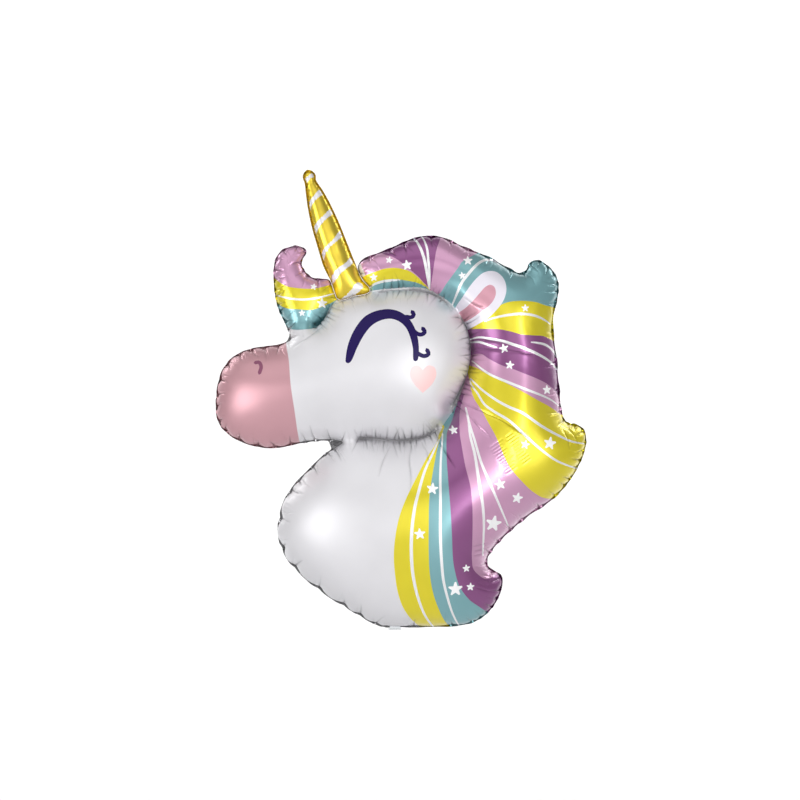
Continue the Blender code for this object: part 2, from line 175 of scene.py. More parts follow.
def nearest(points, path):
    """Number of the path's point that is nearest to each point, and its distance."""
    tree = KDTree(len(path))
    for i, (x, z) in enumerate(path):
        tree.insert((x, z, 0.0), i)
    tree.balance()
    found = [tree.find((x, z, 0.0)) for x, z in points]
    return np.array([f[1] for f in found], dtype=int), np.array([f[2] for f in found])


def distance_to(points, path):
    return nearest(points, path)[1]


def staggered(low, high, step):
    """Staggered rows of points over a box."""
    rows = []
    for row, level in enumerate(np.arange(low[1], high[1], step * math.sqrt(3) / 2)):
        xs = np.arange(low[0] + step / 2 * (row % 2), high[0], step)
        rows.append(np.column_stack([xs, np.full(len(xs), level)]))
    return np.vstack(rows)


# ---- outlines taken from the frame ----

def flat_loops(node):
    """Closed edges of a node's flat faces on its front-most seam plane, the largest first."""
    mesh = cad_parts[node].data
    mesh.calc_loop_triangles()
    keys = {}
    slot = [keys.setdefault(tuple(round(c, 6) for c in v.co), len(keys)) for v in mesh.vertices]
    place = np.array(list(keys))
    level = MARGIN_PLANE if "sheet" in node else SEAL_PLANE
    edges = set()
    for tri in mesh.loop_triangles:
        corner = [slot[v] for v in tri.vertices]
        if np.abs(place[corner, 1] - level).max() < 2e-5 and tri.normal.y < -0.9:
            edges.update(zip(corner, corner[1:] + corner[:1]))
    after = {a: b for a, b in edges if (b, a) not in edges}
    loops = []
    while after:
        start, here = after.popitem()
        ring = [start]
        while here != start and here in after:
            ring.append(here)
            here = after.pop(here)
        loop = place[ring][:, [0, 2]]
        loops.append(loop if area_of(loop) > 0 else loop[::-1])
    return sorted(loops, key=lambda loop: -area_of(loop))


HEAD_BANDS = [f"head_seal_{part}" for part in ("brow", "crown", "cheek", "jaw")]


def body_outlines():
    """Outer edge, weld line and head welds of the body."""
    bands = [flat_loops(node)[0] for node in HEAD_BANDS]
    outer, weld = flat_loops("front_sheet")[:2]
    weld = weld[distance_to(weld, np.vstack(bands)) > 1e-4]
    return outer, weld, bands


# ---- scalloped weld line ----

# Where along the outline the film gathers: a place, the pitch there and the depth.
GATHERS = [
    ((-0.340, 0.450), 0.030, 0.0050), ((-0.260, 0.358), 0.030, 0.0040),
    ((-0.160, 0.366), 0.024, 0.0015), ((-0.260, 0.545), 0.028, 0.0040),
    ((-0.160, 0.310), 0.030, 0.0030), ((-0.215, 0.200), 0.052, 0.0080),
    ((-0.110, 0.060), 0.046, 0.0065), ((0.050, 0.007), 0.060, 0.0020),
    ((0.200, 0.070), 0.017, 0.0030), ((0.180, 0.130), 0.020, 0.0010),
    ((0.265, 0.225), 0.034, 0.0012), ((0.350, 0.320), 0.019, 0.0032),
    ((0.345, 0.393), 0.018, 0.0015), ((0.315, 0.480), 0.050, 0.0010),
    ((0.303, 0.590), 0.050, 0.0012), ((0.305, 0.690), 0.016, 0.0030),
    ((0.250, 0.690), 0.020, 0.0008), ((0.180, 0.720), 0.040, 0.0012),
    ((0.068, 0.758), 0.036, 0.0030), ((-0.020, 0.730), 0.030, 0.0022),
    ((-0.079, 0.645), 0.024, 0.0000), ((-0.150, 0.676), 0.022, 0.0012),
    ((-0.185, 0.735), 0.018, 0.0015), ((-0.230, 0.680), 0.017, 0.0030),
    ((-0.210, 0.600), 0.019, 0.0030),
]


LOBE_LENGTHS = (0.65, 1.45)      # the shortest and the longest lobe against the pitch there
LOBE_REACHES = (0.45, 1.35)      # the shallowest and the deepest valley against the depth there
LOBE_CREST = 0.35                # share of the depth that a lobe stands out past the weld line
LOBE_ROUNDNESS = 0.65
MARGIN_ON_LOBE = 0.65            # margin shown at a lobe's crest against MARGIN_SHOWN
MARGIN_IN_VALLEY = 0.95          # and how much more of it shows in a valley


def gathered(loop, seed):
    """A weld line pulled in between its lobes, and each point's place in its lobe."""
    random = np.random.default_rng(seed)
    homes = np.array([place for place, _, _ in GATHERS])
    inward = np.zeros(len(loop))
    phase = np.zeros(len(loop))
    step = np.linalg.norm(np.roll(loop, -1, axis=0) - loop, axis=1)
    turned, stretch, reach = 0.0, 1.0, 1.0
    for i, point in enumerate(loop):
        away = np.linalg.norm(homes - point, axis=1)
        share = 1.0 / np.maximum(away, 0.01) ** 3
        share /= share.sum()
        pitch = sum(w * g[1] for w, g in zip(share, GATHERS))
        depth = LOBE_DEPTH * sum(w * g[2] for w, g in zip(share, GATHERS))
        before = math.floor(turned)
        turned += step[i] / (pitch * stretch)
        if math.floor(turned) > before:
            stretch, reach = random.uniform(*LOBE_LENGTHS), random.uniform(*LOBE_REACHES)
        phase[i] = turned
        crest = abs(math.sin(math.pi * turned)) ** LOBE_ROUNDNESS
        inward[i] = depth * (LOBE_CREST - crest)
        inward[i] *= reach if inward[i] > 0 else 1.0
    return loop - normals_of(loop) * smooth_ring(inward, 1)[:, None], phase


def tucked(outer, weld, phase):
    """The outer edge as it shows once the margin has curled back behind the weld."""
    fine = around(spline(outer, True, FINE_STEP), 0.0015)
    number, away = nearest(fine, weld)
    near = weld[number]
    valley = np.abs(np.cos(math.pi * phase[number])) ** 3
    shown = MARGIN_SHOWN * (MARGIN_ON_LOBE + MARGIN_IN_VALLEY * valley)
    return smooth_ring(near + (fine - near) * np.minimum(1.0, shown / away)[:, None], 2)


NEIGHBOUR_CLOSE = 0.003          # the weld lies right at its edge this near to the other piece
NEIGHBOUR_FAR = 0.014            # and in its own place from here on


def drawn_close(weld, outer, neighbour, margin):
    """A weld moved out to its own edge where another piece of the balloon lies against it."""
    fine = around(outer, 0.0008)
    number, away = nearest(weld, fine)
    near = fine[number]
    apart = distance_to(near, around(neighbour, 0.0008))
    share = (NEIGHBOUR_FAR - apart) / (NEIGHBOUR_FAR - NEIGHBOUR_CLOSE)
    share = smooth_ring(np.clip(share, 0, 1), 3)
    return weld + (near - weld) * (np.clip(1 - margin / away, 0, 1) * share)[:, None]


# ---- film ----

def triangulated(outer, paths, points):
    """Triangles over the inside of an outline, with every path kept as edges."""
    verts, edges = [outer], []
    count = len(outer)
    edges += [(i, (i + 1) % count) for i in range(count)]
    for path, closed in paths:
        last = len(path) if closed else len(path) - 1
        edges += [(count + i, count + (i + 1) % len(path)) for i in range(last)]
        verts.append(path)
        count += len(path)
    verts.append(points)
    flat, _, faces, _, _, _ = delaunay_2d_cdt(
        [tuple(p) for p in np.vstack(verts)], edges, [], 0, 1e-6)
    flat = np.array([tuple(p) for p in flat])
    faces = np.array([tuple(f) for f in faces])
    a, b, c = flat[faces[:, 0]], flat[faces[:, 1]], flat[faces[:, 2]]
    double = (b[:, 0] - a[:, 0]) * (c[:, 1] - a[:, 1]) - (b[:, 1] - a[:, 1]) * (c[:, 0] - a[:, 0])
    faces[double < 0] = faces[double < 0][:, ::-1]
    keep = inside(flat[faces].mean(axis=1), outer) & (np.abs(double) > 1e-11)
    faces = faces[keep]
    used, faces = np.unique(faces, return_inverse=True)
    return flat[used], faces.reshape(-1, 3)


def film_points(outer, weld, bands, spacing):
    """Points for a film: close rows along its welds and an even field in between."""
    step, rim_step, rows = spacing
    dense = np.vstack([around(loop, 0.0005) for loop in [weld] + bands])
    parts = []
    for distance in rows:
        for loop, side in [(weld, -1.0)] + [(band, 1.0) for band in bands]:
            row = around(loop + normals_of(loop) * side * distance, rim_step)
            row = row[inside(row, weld)]
            parts.append(row[distance_to(row, dense) > 0.9 * distance])
    field = staggered(outer.min(axis=0), outer.max(axis=0), step)
    field = field[inside(field, weld)]
    parts.append(field[distance_to(field, dense) > rows[-1] + 0.5 * step])
    points = np.vstack(parts)
    for band in bands:
        points = points[~inside(points, band)]
    return points


def free_faces(flat, faces, weld, bands):
    """True for each triangle of film that gas can push out."""
    middle = flat[faces].mean(axis=1)
    free = inside(middle, weld)
    for band in bands:
        free &= ~inside(middle, band)
    return free


def gas_height(flat, faces, free):
    """Height of each point over the seam: the root of a membrane's sag, as a full pocket has."""
    part = faces[free]
    held = np.ones(len(flat), dtype=bool)
    held[part.ravel()] = False
    held[faces[~free].ravel()] = True
    held[boundary_edges(part).ravel()] = True
    weights, pairs = [], []
    for i in range(3):
        a, b, c = part[:, i], part[:, (i + 1) % 3], part[:, (i + 2) % 3]
        u, v = flat[b] - flat[a], flat[c] - flat[a]
        cross = np.abs(u[:, 0] * v[:, 1] - u[:, 1] * v[:, 0])
        weights.append(0.5 * (u * v).sum(axis=1) / np.maximum(cross, 1e-14))
        pairs.append(np.column_stack([b, c]))
    weights, pairs = np.concatenate(weights), np.vstack(pairs)
    load = np.bincount(part.ravel(), np.repeat(areas_of(flat, part) / 3, 3), len(flat))
    diagonal = np.bincount(pairs.ravel(), np.repeat(weights, 2), len(flat))
    loose = ~held

    def stiffness(values):
        across = values[pairs[:, 1]] * weights, values[pairs[:, 0]] * weights
        spread = np.bincount(pairs[:, 0], across[0], len(flat))
        spread += np.bincount(pairs[:, 1], across[1], len(flat))
        return (diagonal * values - spread) * loose

    sag = np.zeros(len(flat))
    rest = load * loose
    scale = np.where(diagonal > 0, diagonal, 1.0)
    ready = rest / scale
    way, gain = ready.copy(), float(rest @ ready)
    for _ in range(1500):
        pull = stiffness(way)
        pace = gain / float(way @ pull)
        sag += pace * way
        rest -= pace * pull
        ready = rest / scale
        fresh = float(rest @ ready)
        if fresh < 1e-17:
            break
        way = ready + way * fresh / gain
        gain = fresh
    return PUFF * np.sqrt(2 * np.maximum(sag, 0))


def drawn_in(places, bands):
    """Share of the gas height left where film is drawn in between neighbouring head welds."""
    share = np.ones(len(places))
    rim = spline(HEAD, True, 0.001)
    for one, other in zip(bands, bands[1:]):
        apart = np.linalg.norm(one[:, None] - other[None], axis=2)
        start, end = np.unravel_index(apart.argmin(), apart.shape)
        first = int(np.linalg.norm(rim - one[start], axis=1).argmin())
        last = int(np.linalg.norm(rim - other[end], axis=1).argmin())
        away = distance_to(places, np.vstack([one[start], rim[first:last + 1], other[end]]))
        share *= 1 - PINCH * np.exp(-(away / PINCH_REACH) ** 2)
    return share


def areas_of(flat, faces):
    """Area of each flat triangle."""
    u = flat[faces[:, 1]] - flat[faces[:, 0]]
    v = flat[faces[:, 2]] - flat[faces[:, 0]]
    return 0.5 * np.abs(u[:, 0] * v[:, 1] - u[:, 1] * v[:, 0])


def boundary_edges(faces):
    """Edges with a face on one side only, along their face's own way round."""
    edges = np.vstack([faces[:, [0, 1]], faces[:, [1, 2]], faces[:, [2, 0]]])
    reach = int(faces.max()) + 1
    forward = edges[:, 0] * reach + edges[:, 1]
    backward = edges[:, 1] * reach + edges[:, 0]
    return edges[~np.isin(forward, backward)]


def new_mesh(name, points, faces):
    mesh = bpy.data.meshes.new(name)
    mesh.from_pydata([tuple(p) for p in points], [], [tuple(int(i) for i in f) for f in faces])
    piece = bpy.data.objects.new(name, mesh)
    bpy.context.scene.collection.objects.link(piece)
    return piece


def blown(name, points, faces, held, limit):
    """Cloth pinned at its welds and pushed out by gas, as a change to each point's place."""
    piece = new_mesh(name, points, faces)
    pins = piece.vertex_groups.new(name="welds")
    pins.add([int(i) for i in np.where(held)[0]], 1.0, "REPLACE")
    cloth = piece.modifiers.new("gas", "CLOTH")
    cloth.settings.vertex_group_mass = "welds"
    for setting, value in FILM_CLOTH.items():
        setattr(cloth.settings, setting, value)
    cloth.settings.effector_weights.gravity = 0.0
    cloth.collision_settings.use_collision = False
    cloth.collision_settings.use_self_collision = False
    cloth.point_cache.frame_start = 1
    cloth.point_cache.frame_end = SIM_FRAMES
    scene = bpy.context.scene
    for frame_number in range(1, SIM_FRAMES + 1):
        scene.frame_set(frame_number)
    settled = piece.evaluated_get(bpy.context.evaluated_depsgraph_get())
    result = np.zeros(len(points) * 3)
    settled.data.vertices.foreach_get("co", result)
    scene.frame_set(1)
    mesh = piece.data
    bpy.data.objects.remove(piece)
    bpy.data.meshes.remove(mesh)
    change = result.reshape(-1, 3) - points
    size = np.linalg.norm(change, axis=1)
    return change * np.minimum(1.0, limit / np.maximum(size, 1e-9))[:, None]


def smooth_field(values, faces, held, rounds):
    """Values averaged over the neighbours, with the held points left alone."""
    edges = np.vstack([faces[:, [0, 1]], faces[:, [1, 2]], faces[:, [2, 0]]])
    edges = np.vstack([edges, edges[:, ::-1]])
    count = np.maximum(np.bincount(edges[:, 0], minlength=len(values)), 1)
    for _ in range(rounds):
        mean = np.column_stack([
            np.bincount(edges[:, 0], values[edges[:, 1], i], len(values)) / count
            for i in range(values.shape[1])])
        values = np.where(held[:, None], values, 0.5 * values + 0.5 * mean)
    return values


def vertex_normals(points, faces):
    """Unit normal at each point, or zero where no triangle meets it."""
    tris = points[faces]
    normal = np.cross(tris[:, 1] - tris[:, 0], tris[:, 2] - tris[:, 0])
    total = np.zeros_like(points)
    for i in range(3):
        np.add.at(total, faces[:, i], normal)
    return total / np.maximum(np.linalg.norm(total, axis=1), 1e-14)[:, None]


class Film:
    """One pocket's flat film and the surface that gas gives it."""

    def __init__(self, name, outer, weld, bands, spacing, limit, crease_reach):
        self.outer, self.weld, self.bands = outer, weld, bands
        points = film_points(outer, weld, bands, spacing)
        paths = [(weld, True)] + [(band, True) for band in bands]
        self.flat, self.faces = triangulated(outer, paths, points)
        self.free = free_faces(self.flat, self.faces, weld, bands)
        height = gas_height(self.flat, self.faces, self.free) * drawn_in(self.flat, bands)
        dome = np.column_stack([self.flat[:, 0], -SKIN_GAP - FILM - height, self.flat[:, 1]])
        self.held = height <= 0
        change = blown(name, dome, self.faces, self.held, limit)
        change[:, 1] = np.minimum(change[:, 1], 0.8 * height)
        calm = smooth_field(change, self.faces, self.held, CALM_ROUNDS)
        dense = np.vstack([around(loop, 0.002) for loop in [weld] + bands])
        crease = CREASE_SHARE * np.exp(-distance_to(self.flat, dense) / crease_reach)[:, None]
        change = calm + (change - calm) * crease
        self.points = dome + change
        self.shift = smooth_field(change[:, [0, 2]], self.faces, self.held, 12)
        self.normals = vertex_normals(self.points, self.faces[self.free])
        self.normals[np.linalg.norm(self.normals, axis=1) < 0.5] = (0.0, -1.0, 0.0)
        self.tree = BVHTree.FromPolygons(
            [(x, 0.0, z) for x, z in self.flat], [tuple(int(i) for i in f) for f in self.faces])

    def share(self, places):
        """Triangle and barycentric shares of each flat place."""
        face = np.array([self.tree.find_nearest((x, 0.0, z))[2] for x, z in places])
        a, b, c = (self.flat[self.faces[face, i]] for i in range(3))
        u, v, w = b - a, c - a, places - a
        cross = u[:, 0] * v[:, 1] - u[:, 1] * v[:, 0]
        second = (w[:, 0] * v[:, 1] - w[:, 1] * v[:, 0]) / cross
        third = (u[:, 0] * w[:, 1] - u[:, 1] * w[:, 0]) / cross
        shares = np.clip(np.column_stack([1 - second - third, second, third]), 0, 1)
        return face, shares / shares.sum(axis=1)[:, None]

    def laid_back(self, places):
        """Flat places of film that ends up in front of the given places."""
        result = places.copy()
        for _ in range(3):
            face, shares = self.share(result)
            shift = (self.shift[self.faces[face]] * shares[:, :, None]).sum(axis=1)
            result = places - shift
        return result

    def surface(self, places):
        """Curved point triangles over the blown film: the place of each flat place."""
        face, shares = self.share(places)
        corner = self.points[self.faces[face]]
        normal = self.normals[self.faces[face]]
        plain = (corner * shares[:, :, None]).sum(axis=1)
        result = (corner * (shares ** 3)[:, :, None]).sum(axis=1)
        edge_points = []
        for i in range(3):
            for j in ((i + 1) % 3, (i + 2) % 3):
                lean = ((corner[:, j] - corner[:, i]) * normal[:, i]).sum(axis=1)[:, None]
                control = (2 * corner[:, i] + corner[:, j] - lean * normal[:, i]) / 3
                edge_points.append(control)
                result += 3 * (shares[:, i] ** 2 * shares[:, j])[:, None] * control
        mean_edge = sum(edge_points) / len(edge_points)
        middle = mean_edge + (mean_edge - corner.mean(axis=1)) / 2
        result += 6 * shares.prod(axis=1)[:, None] * middle
        free = self.free[face][:, None]
        return np.where(free, result, plain)


# ---- print ----

HUB = (0.02, 0.50)               # inside the head, where every strand of the mane starts
MANE_CORNERS = [
    (0.180, -0.040), (0.430, 0.120), (0.430, 0.250), (0.430, 0.560), (0.360, 0.770),
    (0.050, 0.800), (-0.080, 0.740),
]
# Each strand of the mane from its leading edge on, and how many of the corners lie beyond it.
STRANDS = [
    ("yellow", 7, [
        (0.092, 0.390), (0.086, 0.379), (0.078, 0.360), (0.062, 0.336), (0.041, 0.297),
        (0.022, 0.259), (0.009, 0.225), (0.001, 0.187), (-0.002, 0.150), (0.000, 0.116),
        (0.005, 0.081), (0.014, 0.052), (0.028, 0.028), (0.044, 0.009), (0.065, -0.012)]),
    ("teal", 7, [
        (0.096, 0.390), (0.092, 0.379), (0.084, 0.363), (0.076, 0.328), (0.069, 0.289),
        (0.065, 0.257), (0.064, 0.209), (0.064, 0.156), (0.066, 0.116), (0.073, 0.076),
        (0.084, 0.044), (0.097, 0.017), (0.118, -0.009)]),
    ("purple", 6, [
        (0.120, 0.437), (0.110, 0.403), (0.100, 0.379), (0.098, 0.342), (0.101, 0.289),
        (0.105, 0.235), (0.108, 0.182), (0.110, 0.142), (0.114, 0.118), (0.123, 0.089),
        (0.142, 0.062), (0.161, 0.047), (0.182, 0.031), (0.201, 0.017)]),
    ("pink", 6, [
        (0.133, 0.455), (0.126, 0.427), (0.123, 0.384), (0.127, 0.355), (0.134, 0.315),
        (0.142, 0.283), (0.146, 0.246), (0.147, 0.209), (0.147, 0.169), (0.147, 0.142),
        (0.150, 0.121), (0.161, 0.108), (0.174, 0.100), (0.187, 0.102), (0.206, 0.110),
        (0.225, 0.118)]),
    ("yellow", 5, [
        (0.138, 0.517), (0.140, 0.505), (0.142, 0.489), (0.146, 0.463), (0.152, 0.445),
        (0.165, 0.424), (0.177, 0.401), (0.190, 0.377), (0.216, 0.319), (0.240, 0.290),
        (0.265, 0.267), (0.290, 0.254), (0.333, 0.253)]),
    ("pink", 4, [
        (0.140, 0.517), (0.143, 0.512), (0.158, 0.505), (0.170, 0.497), (0.192, 0.487),
        (0.215, 0.474), (0.242, 0.460), (0.269, 0.445), (0.296, 0.431), (0.319, 0.417),
        (0.340, 0.406)]),
    ("purple", 4, [
        (0.140, 0.527), (0.149, 0.531), (0.165, 0.532), (0.179, 0.523), (0.203, 0.510),
        (0.224, 0.503), (0.246, 0.494), (0.269, 0.485), (0.292, 0.474), (0.307, 0.463),
        (0.316, 0.453), (0.337, 0.427)]),
    ("yellow", 3, [
        (0.136, 0.580), (0.166, 0.580), (0.196, 0.579), (0.218, 0.575), (0.240, 0.569),
        (0.263, 0.567), (0.285, 0.566), (0.304, 0.559), (0.330, 0.550)]),
    ("teal", 3, [
        (0.190, 0.621), (0.202, 0.625), (0.211, 0.629), (0.225, 0.632), (0.248, 0.633),
        (0.270, 0.631), (0.292, 0.625), (0.330, 0.621)]),
    ("pink", 2, [
        (0.079, 0.644), (0.088, 0.651), (0.098, 0.666), (0.110, 0.682), (0.121, 0.697),
        (0.129, 0.709), (0.136, 0.713), (0.147, 0.720), (0.157, 0.727), (0.175, 0.742)]),
    ("purple", 2, [
        (0.067, 0.649), (0.072, 0.682), (0.076, 0.710), (0.080, 0.733), (0.089, 0.761),
        (0.091, 0.780)]),
    ("pink", 1, [
        (0.068, 0.654), (0.065, 0.660), (0.055, 0.670), (0.045, 0.681), (0.030, 0.694),
        (0.014, 0.707), (-0.004, 0.719), (-0.020, 0.725), (-0.044, 0.736)]),
]
# Bands over the brow, each under its top edge.
BROW_BANDS = [
    ("yellow", [
        (-0.074, 0.675), (-0.068, 0.679), (-0.053, 0.686), (-0.038, 0.691), (-0.023, 0.696),
        (-0.004, 0.698), (0.014, 0.696), (0.029, 0.691), (0.043, 0.681), (0.055, 0.669),
        (0.068, 0.656)]),
    ("teal", [
        (-0.062, 0.658), (-0.053, 0.661), (-0.043, 0.666), (-0.028, 0.670), (-0.013, 0.673),
        (0.009, 0.675), (0.031, 0.672), (0.046, 0.668), (0.061, 0.660), (0.069, 0.653)]),
]
BROW_FOOT = [(0.068, 0.640), (0.000, 0.600), (-0.090, 0.640)]
EAR = [
    (0.116, 0.619), (0.129, 0.640), (0.141, 0.658), (0.154, 0.674), (0.169, 0.687),
    (0.182, 0.691), (0.196, 0.689), (0.206, 0.680), (0.212, 0.667), (0.213, 0.652),
    (0.209, 0.637), (0.202, 0.625), (0.191, 0.612), (0.178, 0.600), (0.163, 0.591),
    (0.150, 0.584), (0.136, 0.579), (0.119, 0.596),
]
EAR_LINING = [
    (0.120, 0.608), (0.136, 0.621), (0.150, 0.634), (0.163, 0.649), (0.172, 0.659),
    (0.182, 0.664), (0.190, 0.660), (0.193, 0.649), (0.190, 0.637), (0.181, 0.625),
    (0.166, 0.614), (0.151, 0.603), (0.135, 0.595), (0.125, 0.596),
]
HEAD = [
    (-0.113, 0.637), (-0.078, 0.647), (-0.047, 0.655), (-0.008, 0.659), (0.023, 0.660),
    (0.054, 0.658), (0.081, 0.649), (0.107, 0.632), (0.128, 0.606), (0.141, 0.579),
    (0.147, 0.548), (0.145, 0.517), (0.138, 0.486), (0.127, 0.457), (0.116, 0.430),
    (0.101, 0.405), (0.083, 0.386), (0.055, 0.373), (0.010, 0.366), (-0.097, 0.366), (-0.300, 0.366),
    (-0.300, 0.550), (-0.200, 0.600),
]
FORELOCK_FOOT = [
    (-0.100, 0.650), (-0.111, 0.639), (-0.125, 0.624), (-0.137, 0.601), (-0.148, 0.586),
    (-0.174, 0.579), (-0.202, 0.581), (-0.222, 0.596),
]
FORELOCK_CORNERS = [(-0.250, 0.580), (-0.260, 0.760), (-0.168, 0.770), (-0.090, 0.740)]
FORELOCK_BANDS = [
    ("yellow", [
        (-0.250, 0.694), (-0.232, 0.678), (-0.211, 0.664), (-0.187, 0.659), (-0.162, 0.658),
        (-0.140, 0.662), (-0.100, 0.675)]),
    ("teal", [
        (-0.250, 0.646), (-0.230, 0.632), (-0.211, 0.621), (-0.187, 0.618), (-0.162, 0.617),
        (-0.140, 0.624), (-0.098, 0.646)]),
]
MUZZLE_EDGE = [
    (-0.220, 0.585), (-0.213, 0.563), (-0.208, 0.542), (-0.203, 0.520), (-0.198, 0.471),
    (-0.191, 0.421), (-0.187, 0.384), (-0.181, 0.330),
]
MUZZLE_CORNERS = [(-0.400, 0.330), (-0.400, 0.585)]
EYE = [
    (-0.093, 0.515), (-0.093, 0.526), (-0.088, 0.552), (-0.075, 0.581), (-0.057, 0.603),
    (-0.035, 0.614), (-0.010, 0.617), (0.011, 0.611), (0.028, 0.597), (0.040, 0.575),
    (0.045, 0.551), (0.045, 0.526), (0.042, 0.518), (0.036, 0.518), (0.034, 0.542),
    (0.029, 0.563), (0.021, 0.581), (0.008, 0.593), (-0.007, 0.598), (-0.024, 0.596),
    (-0.043, 0.586), (-0.058, 0.568), (-0.071, 0.544), (-0.083, 0.517), (-0.088, 0.513),
]
LASHES = [
    [(0.014, 0.600), (0.022, 0.602), (0.031, 0.601), (0.036, 0.606), (0.033, 0.612)],
    [(0.034, 0.577), (0.042, 0.570), (0.050, 0.568), (0.057, 0.573), (0.053, 0.580)],
    [(0.038, 0.537), (0.047, 0.530), (0.056, 0.527), (0.064, 0.531), (0.061, 0.539)],
]
LASH_WIDTH = 0.0080
HEART = [
    (0.053, 0.457), (0.037, 0.474), (0.029, 0.490), (0.032, 0.505), (0.044, 0.509),
    (0.053, 0.500), (0.063, 0.509), (0.075, 0.506), (0.079, 0.492), (0.071, 0.474),
]
NOSTRIL = [(-0.268, 0.515), (-0.261, 0.516), (-0.256, 0.508), (-0.259, 0.495)]
NOSTRIL_WIDTH = 0.0070
# Bare silver lines: their width and their course.
MANE_LINES = [
    (0.0040, [(0.033, 0.761), (0.042, 0.749), (0.049, 0.736), (0.054, 0.722), (0.057, 0.712),
              (0.061, 0.690), (0.066, 0.658)]),
    (0.0034, [(0.051, 0.762), (0.058, 0.747), (0.062, 0.733), (0.064, 0.713), (0.066, 0.690),
              (0.067, 0.658)]),
    (0.0040, [(0.203, 0.705), (0.196, 0.711), (0.187, 0.715), (0.175, 0.714), (0.163, 0.708),
              (0.151, 0.697), (0.139, 0.683), (0.129, 0.670), (0.123, 0.658), (0.116, 0.640),
              (0.108, 0.621)]),
    (0.0036, [(0.172, 0.594), (0.184, 0.599), (0.196, 0.602), (0.218, 0.606), (0.240, 0.608),
              (0.263, 0.606), (0.282, 0.600), (0.300, 0.590)]),
    (0.0040, [(0.143, 0.560), (0.161, 0.564), (0.185, 0.560), (0.206, 0.556), (0.224, 0.550),
              (0.242, 0.544), (0.269, 0.533), (0.292, 0.521), (0.307, 0.510), (0.319, 0.496)]),
    (0.0032, [(0.143, 0.555), (0.161, 0.555), (0.179, 0.549), (0.195, 0.544)]),
    (0.0034, [(0.260, 0.554), (0.271, 0.553), (0.287, 0.550), (0.303, 0.541),
              (0.314, 0.527)]),
    (0.0036, [(0.149, 0.519), (0.163, 0.506), (0.179, 0.494), (0.197, 0.485), (0.224, 0.474),
              (0.251, 0.463), (0.278, 0.453), (0.299, 0.444), (0.316, 0.433)]),
    (0.0038, [(0.145, 0.485), (0.158, 0.471), (0.170, 0.460), (0.192, 0.444), (0.215, 0.431),
              (0.242, 0.419), (0.277, 0.395), (0.308, 0.378), (0.339, 0.364), (0.365, 0.359)]),
    (0.0036, [(0.144, 0.483), (0.146, 0.474), (0.158, 0.456), (0.170, 0.436), (0.188, 0.422),
              (0.217, 0.404), (0.247, 0.376), (0.277, 0.350), (0.308, 0.328), (0.356, 0.309)]),
    (0.0040, [(0.135, 0.429), (0.140, 0.402), (0.143, 0.376), (0.151, 0.342), (0.159, 0.289),
              (0.166, 0.246), (0.169, 0.209), (0.169, 0.174), (0.169, 0.145)]),
    (0.0036, [(0.136, 0.429), (0.142, 0.399), (0.151, 0.368), (0.163, 0.326), (0.182, 0.281),
              (0.201, 0.238), (0.218, 0.201)]),
    (0.0040, [(0.092, 0.379), (0.088, 0.342), (0.086, 0.302), (0.086, 0.262), (0.086, 0.182),
              (0.088, 0.142), (0.092, 0.102), (0.100, 0.068), (0.110, 0.036), (0.129, -0.004)]),
    (0.0044, [(0.084, 0.368), (0.073, 0.344), (0.057, 0.310), (0.044, 0.267), (0.038, 0.243),
              (0.033, 0.209), (0.031, 0.174), (0.032, 0.134), (0.036, 0.102), (0.044, 0.068),
              (0.057, 0.033), (0.081, -0.007)]),
    (0.0034, [(-0.050, 0.660), (-0.041, 0.667), (-0.028, 0.671), (-0.010, 0.674),
              (0.009, 0.675)]),
]
HEAD_LINE = (0.0030, [
    (-0.050, 0.651), (-0.032, 0.656), (-0.007, 0.658), (0.024, 0.660), (0.049, 0.659),
    (0.073, 0.652), (0.095, 0.639)])
FORELOCK_LINE = (0.0040, [
    (-0.230, 0.646), (-0.202, 0.639), (-0.174, 0.637), (-0.146, 0.641), (-0.115, 0.651)])
# White stars: across, up and radius.
STARS = [
    (-0.157, 0.662, 0.0066), (-0.141, 0.630, 0.0102), (-0.179, 0.611, 0.0068),
    (0.247, 0.359, 0.0092), (0.295, 0.361, 0.0128), (0.199, 0.284, 0.0115),
    (0.233, 0.257, 0.0112), (0.188, 0.208, 0.0165), (0.112, 0.386, 0.0086),
    (0.136, 0.123, 0.0078), (0.144, 0.087, 0.0082), (0.115, 0.084, 0.0145),
    (0.047, 0.191, 0.0112), (0.071, 0.276, 0.0115), (-0.011, 0.713, 0.0072),
    (0.023, 0.703, 0.0102), (-0.041, 0.680, 0.0076), (0.140, 0.711, 0.0094),
    (0.129, 0.682, 0.0072), (0.249, 0.619, 0.0076), (0.208, 0.542, 0.0094),
    (0.219, 0.510, 0.0088), (0.291, 0.463, 0.0094),
]
STAR_WAIST = 0.48                # inner radius of a star against its outer one
STAR_TILT = 0.25                 # the most a star is turned
MANE_LINE_SPREAD = 1.4           # width of the mane's lines against the list above

HORN_FOOT = (-0.079, 0.645)
HORN_LEAN = math.radians(14.6)
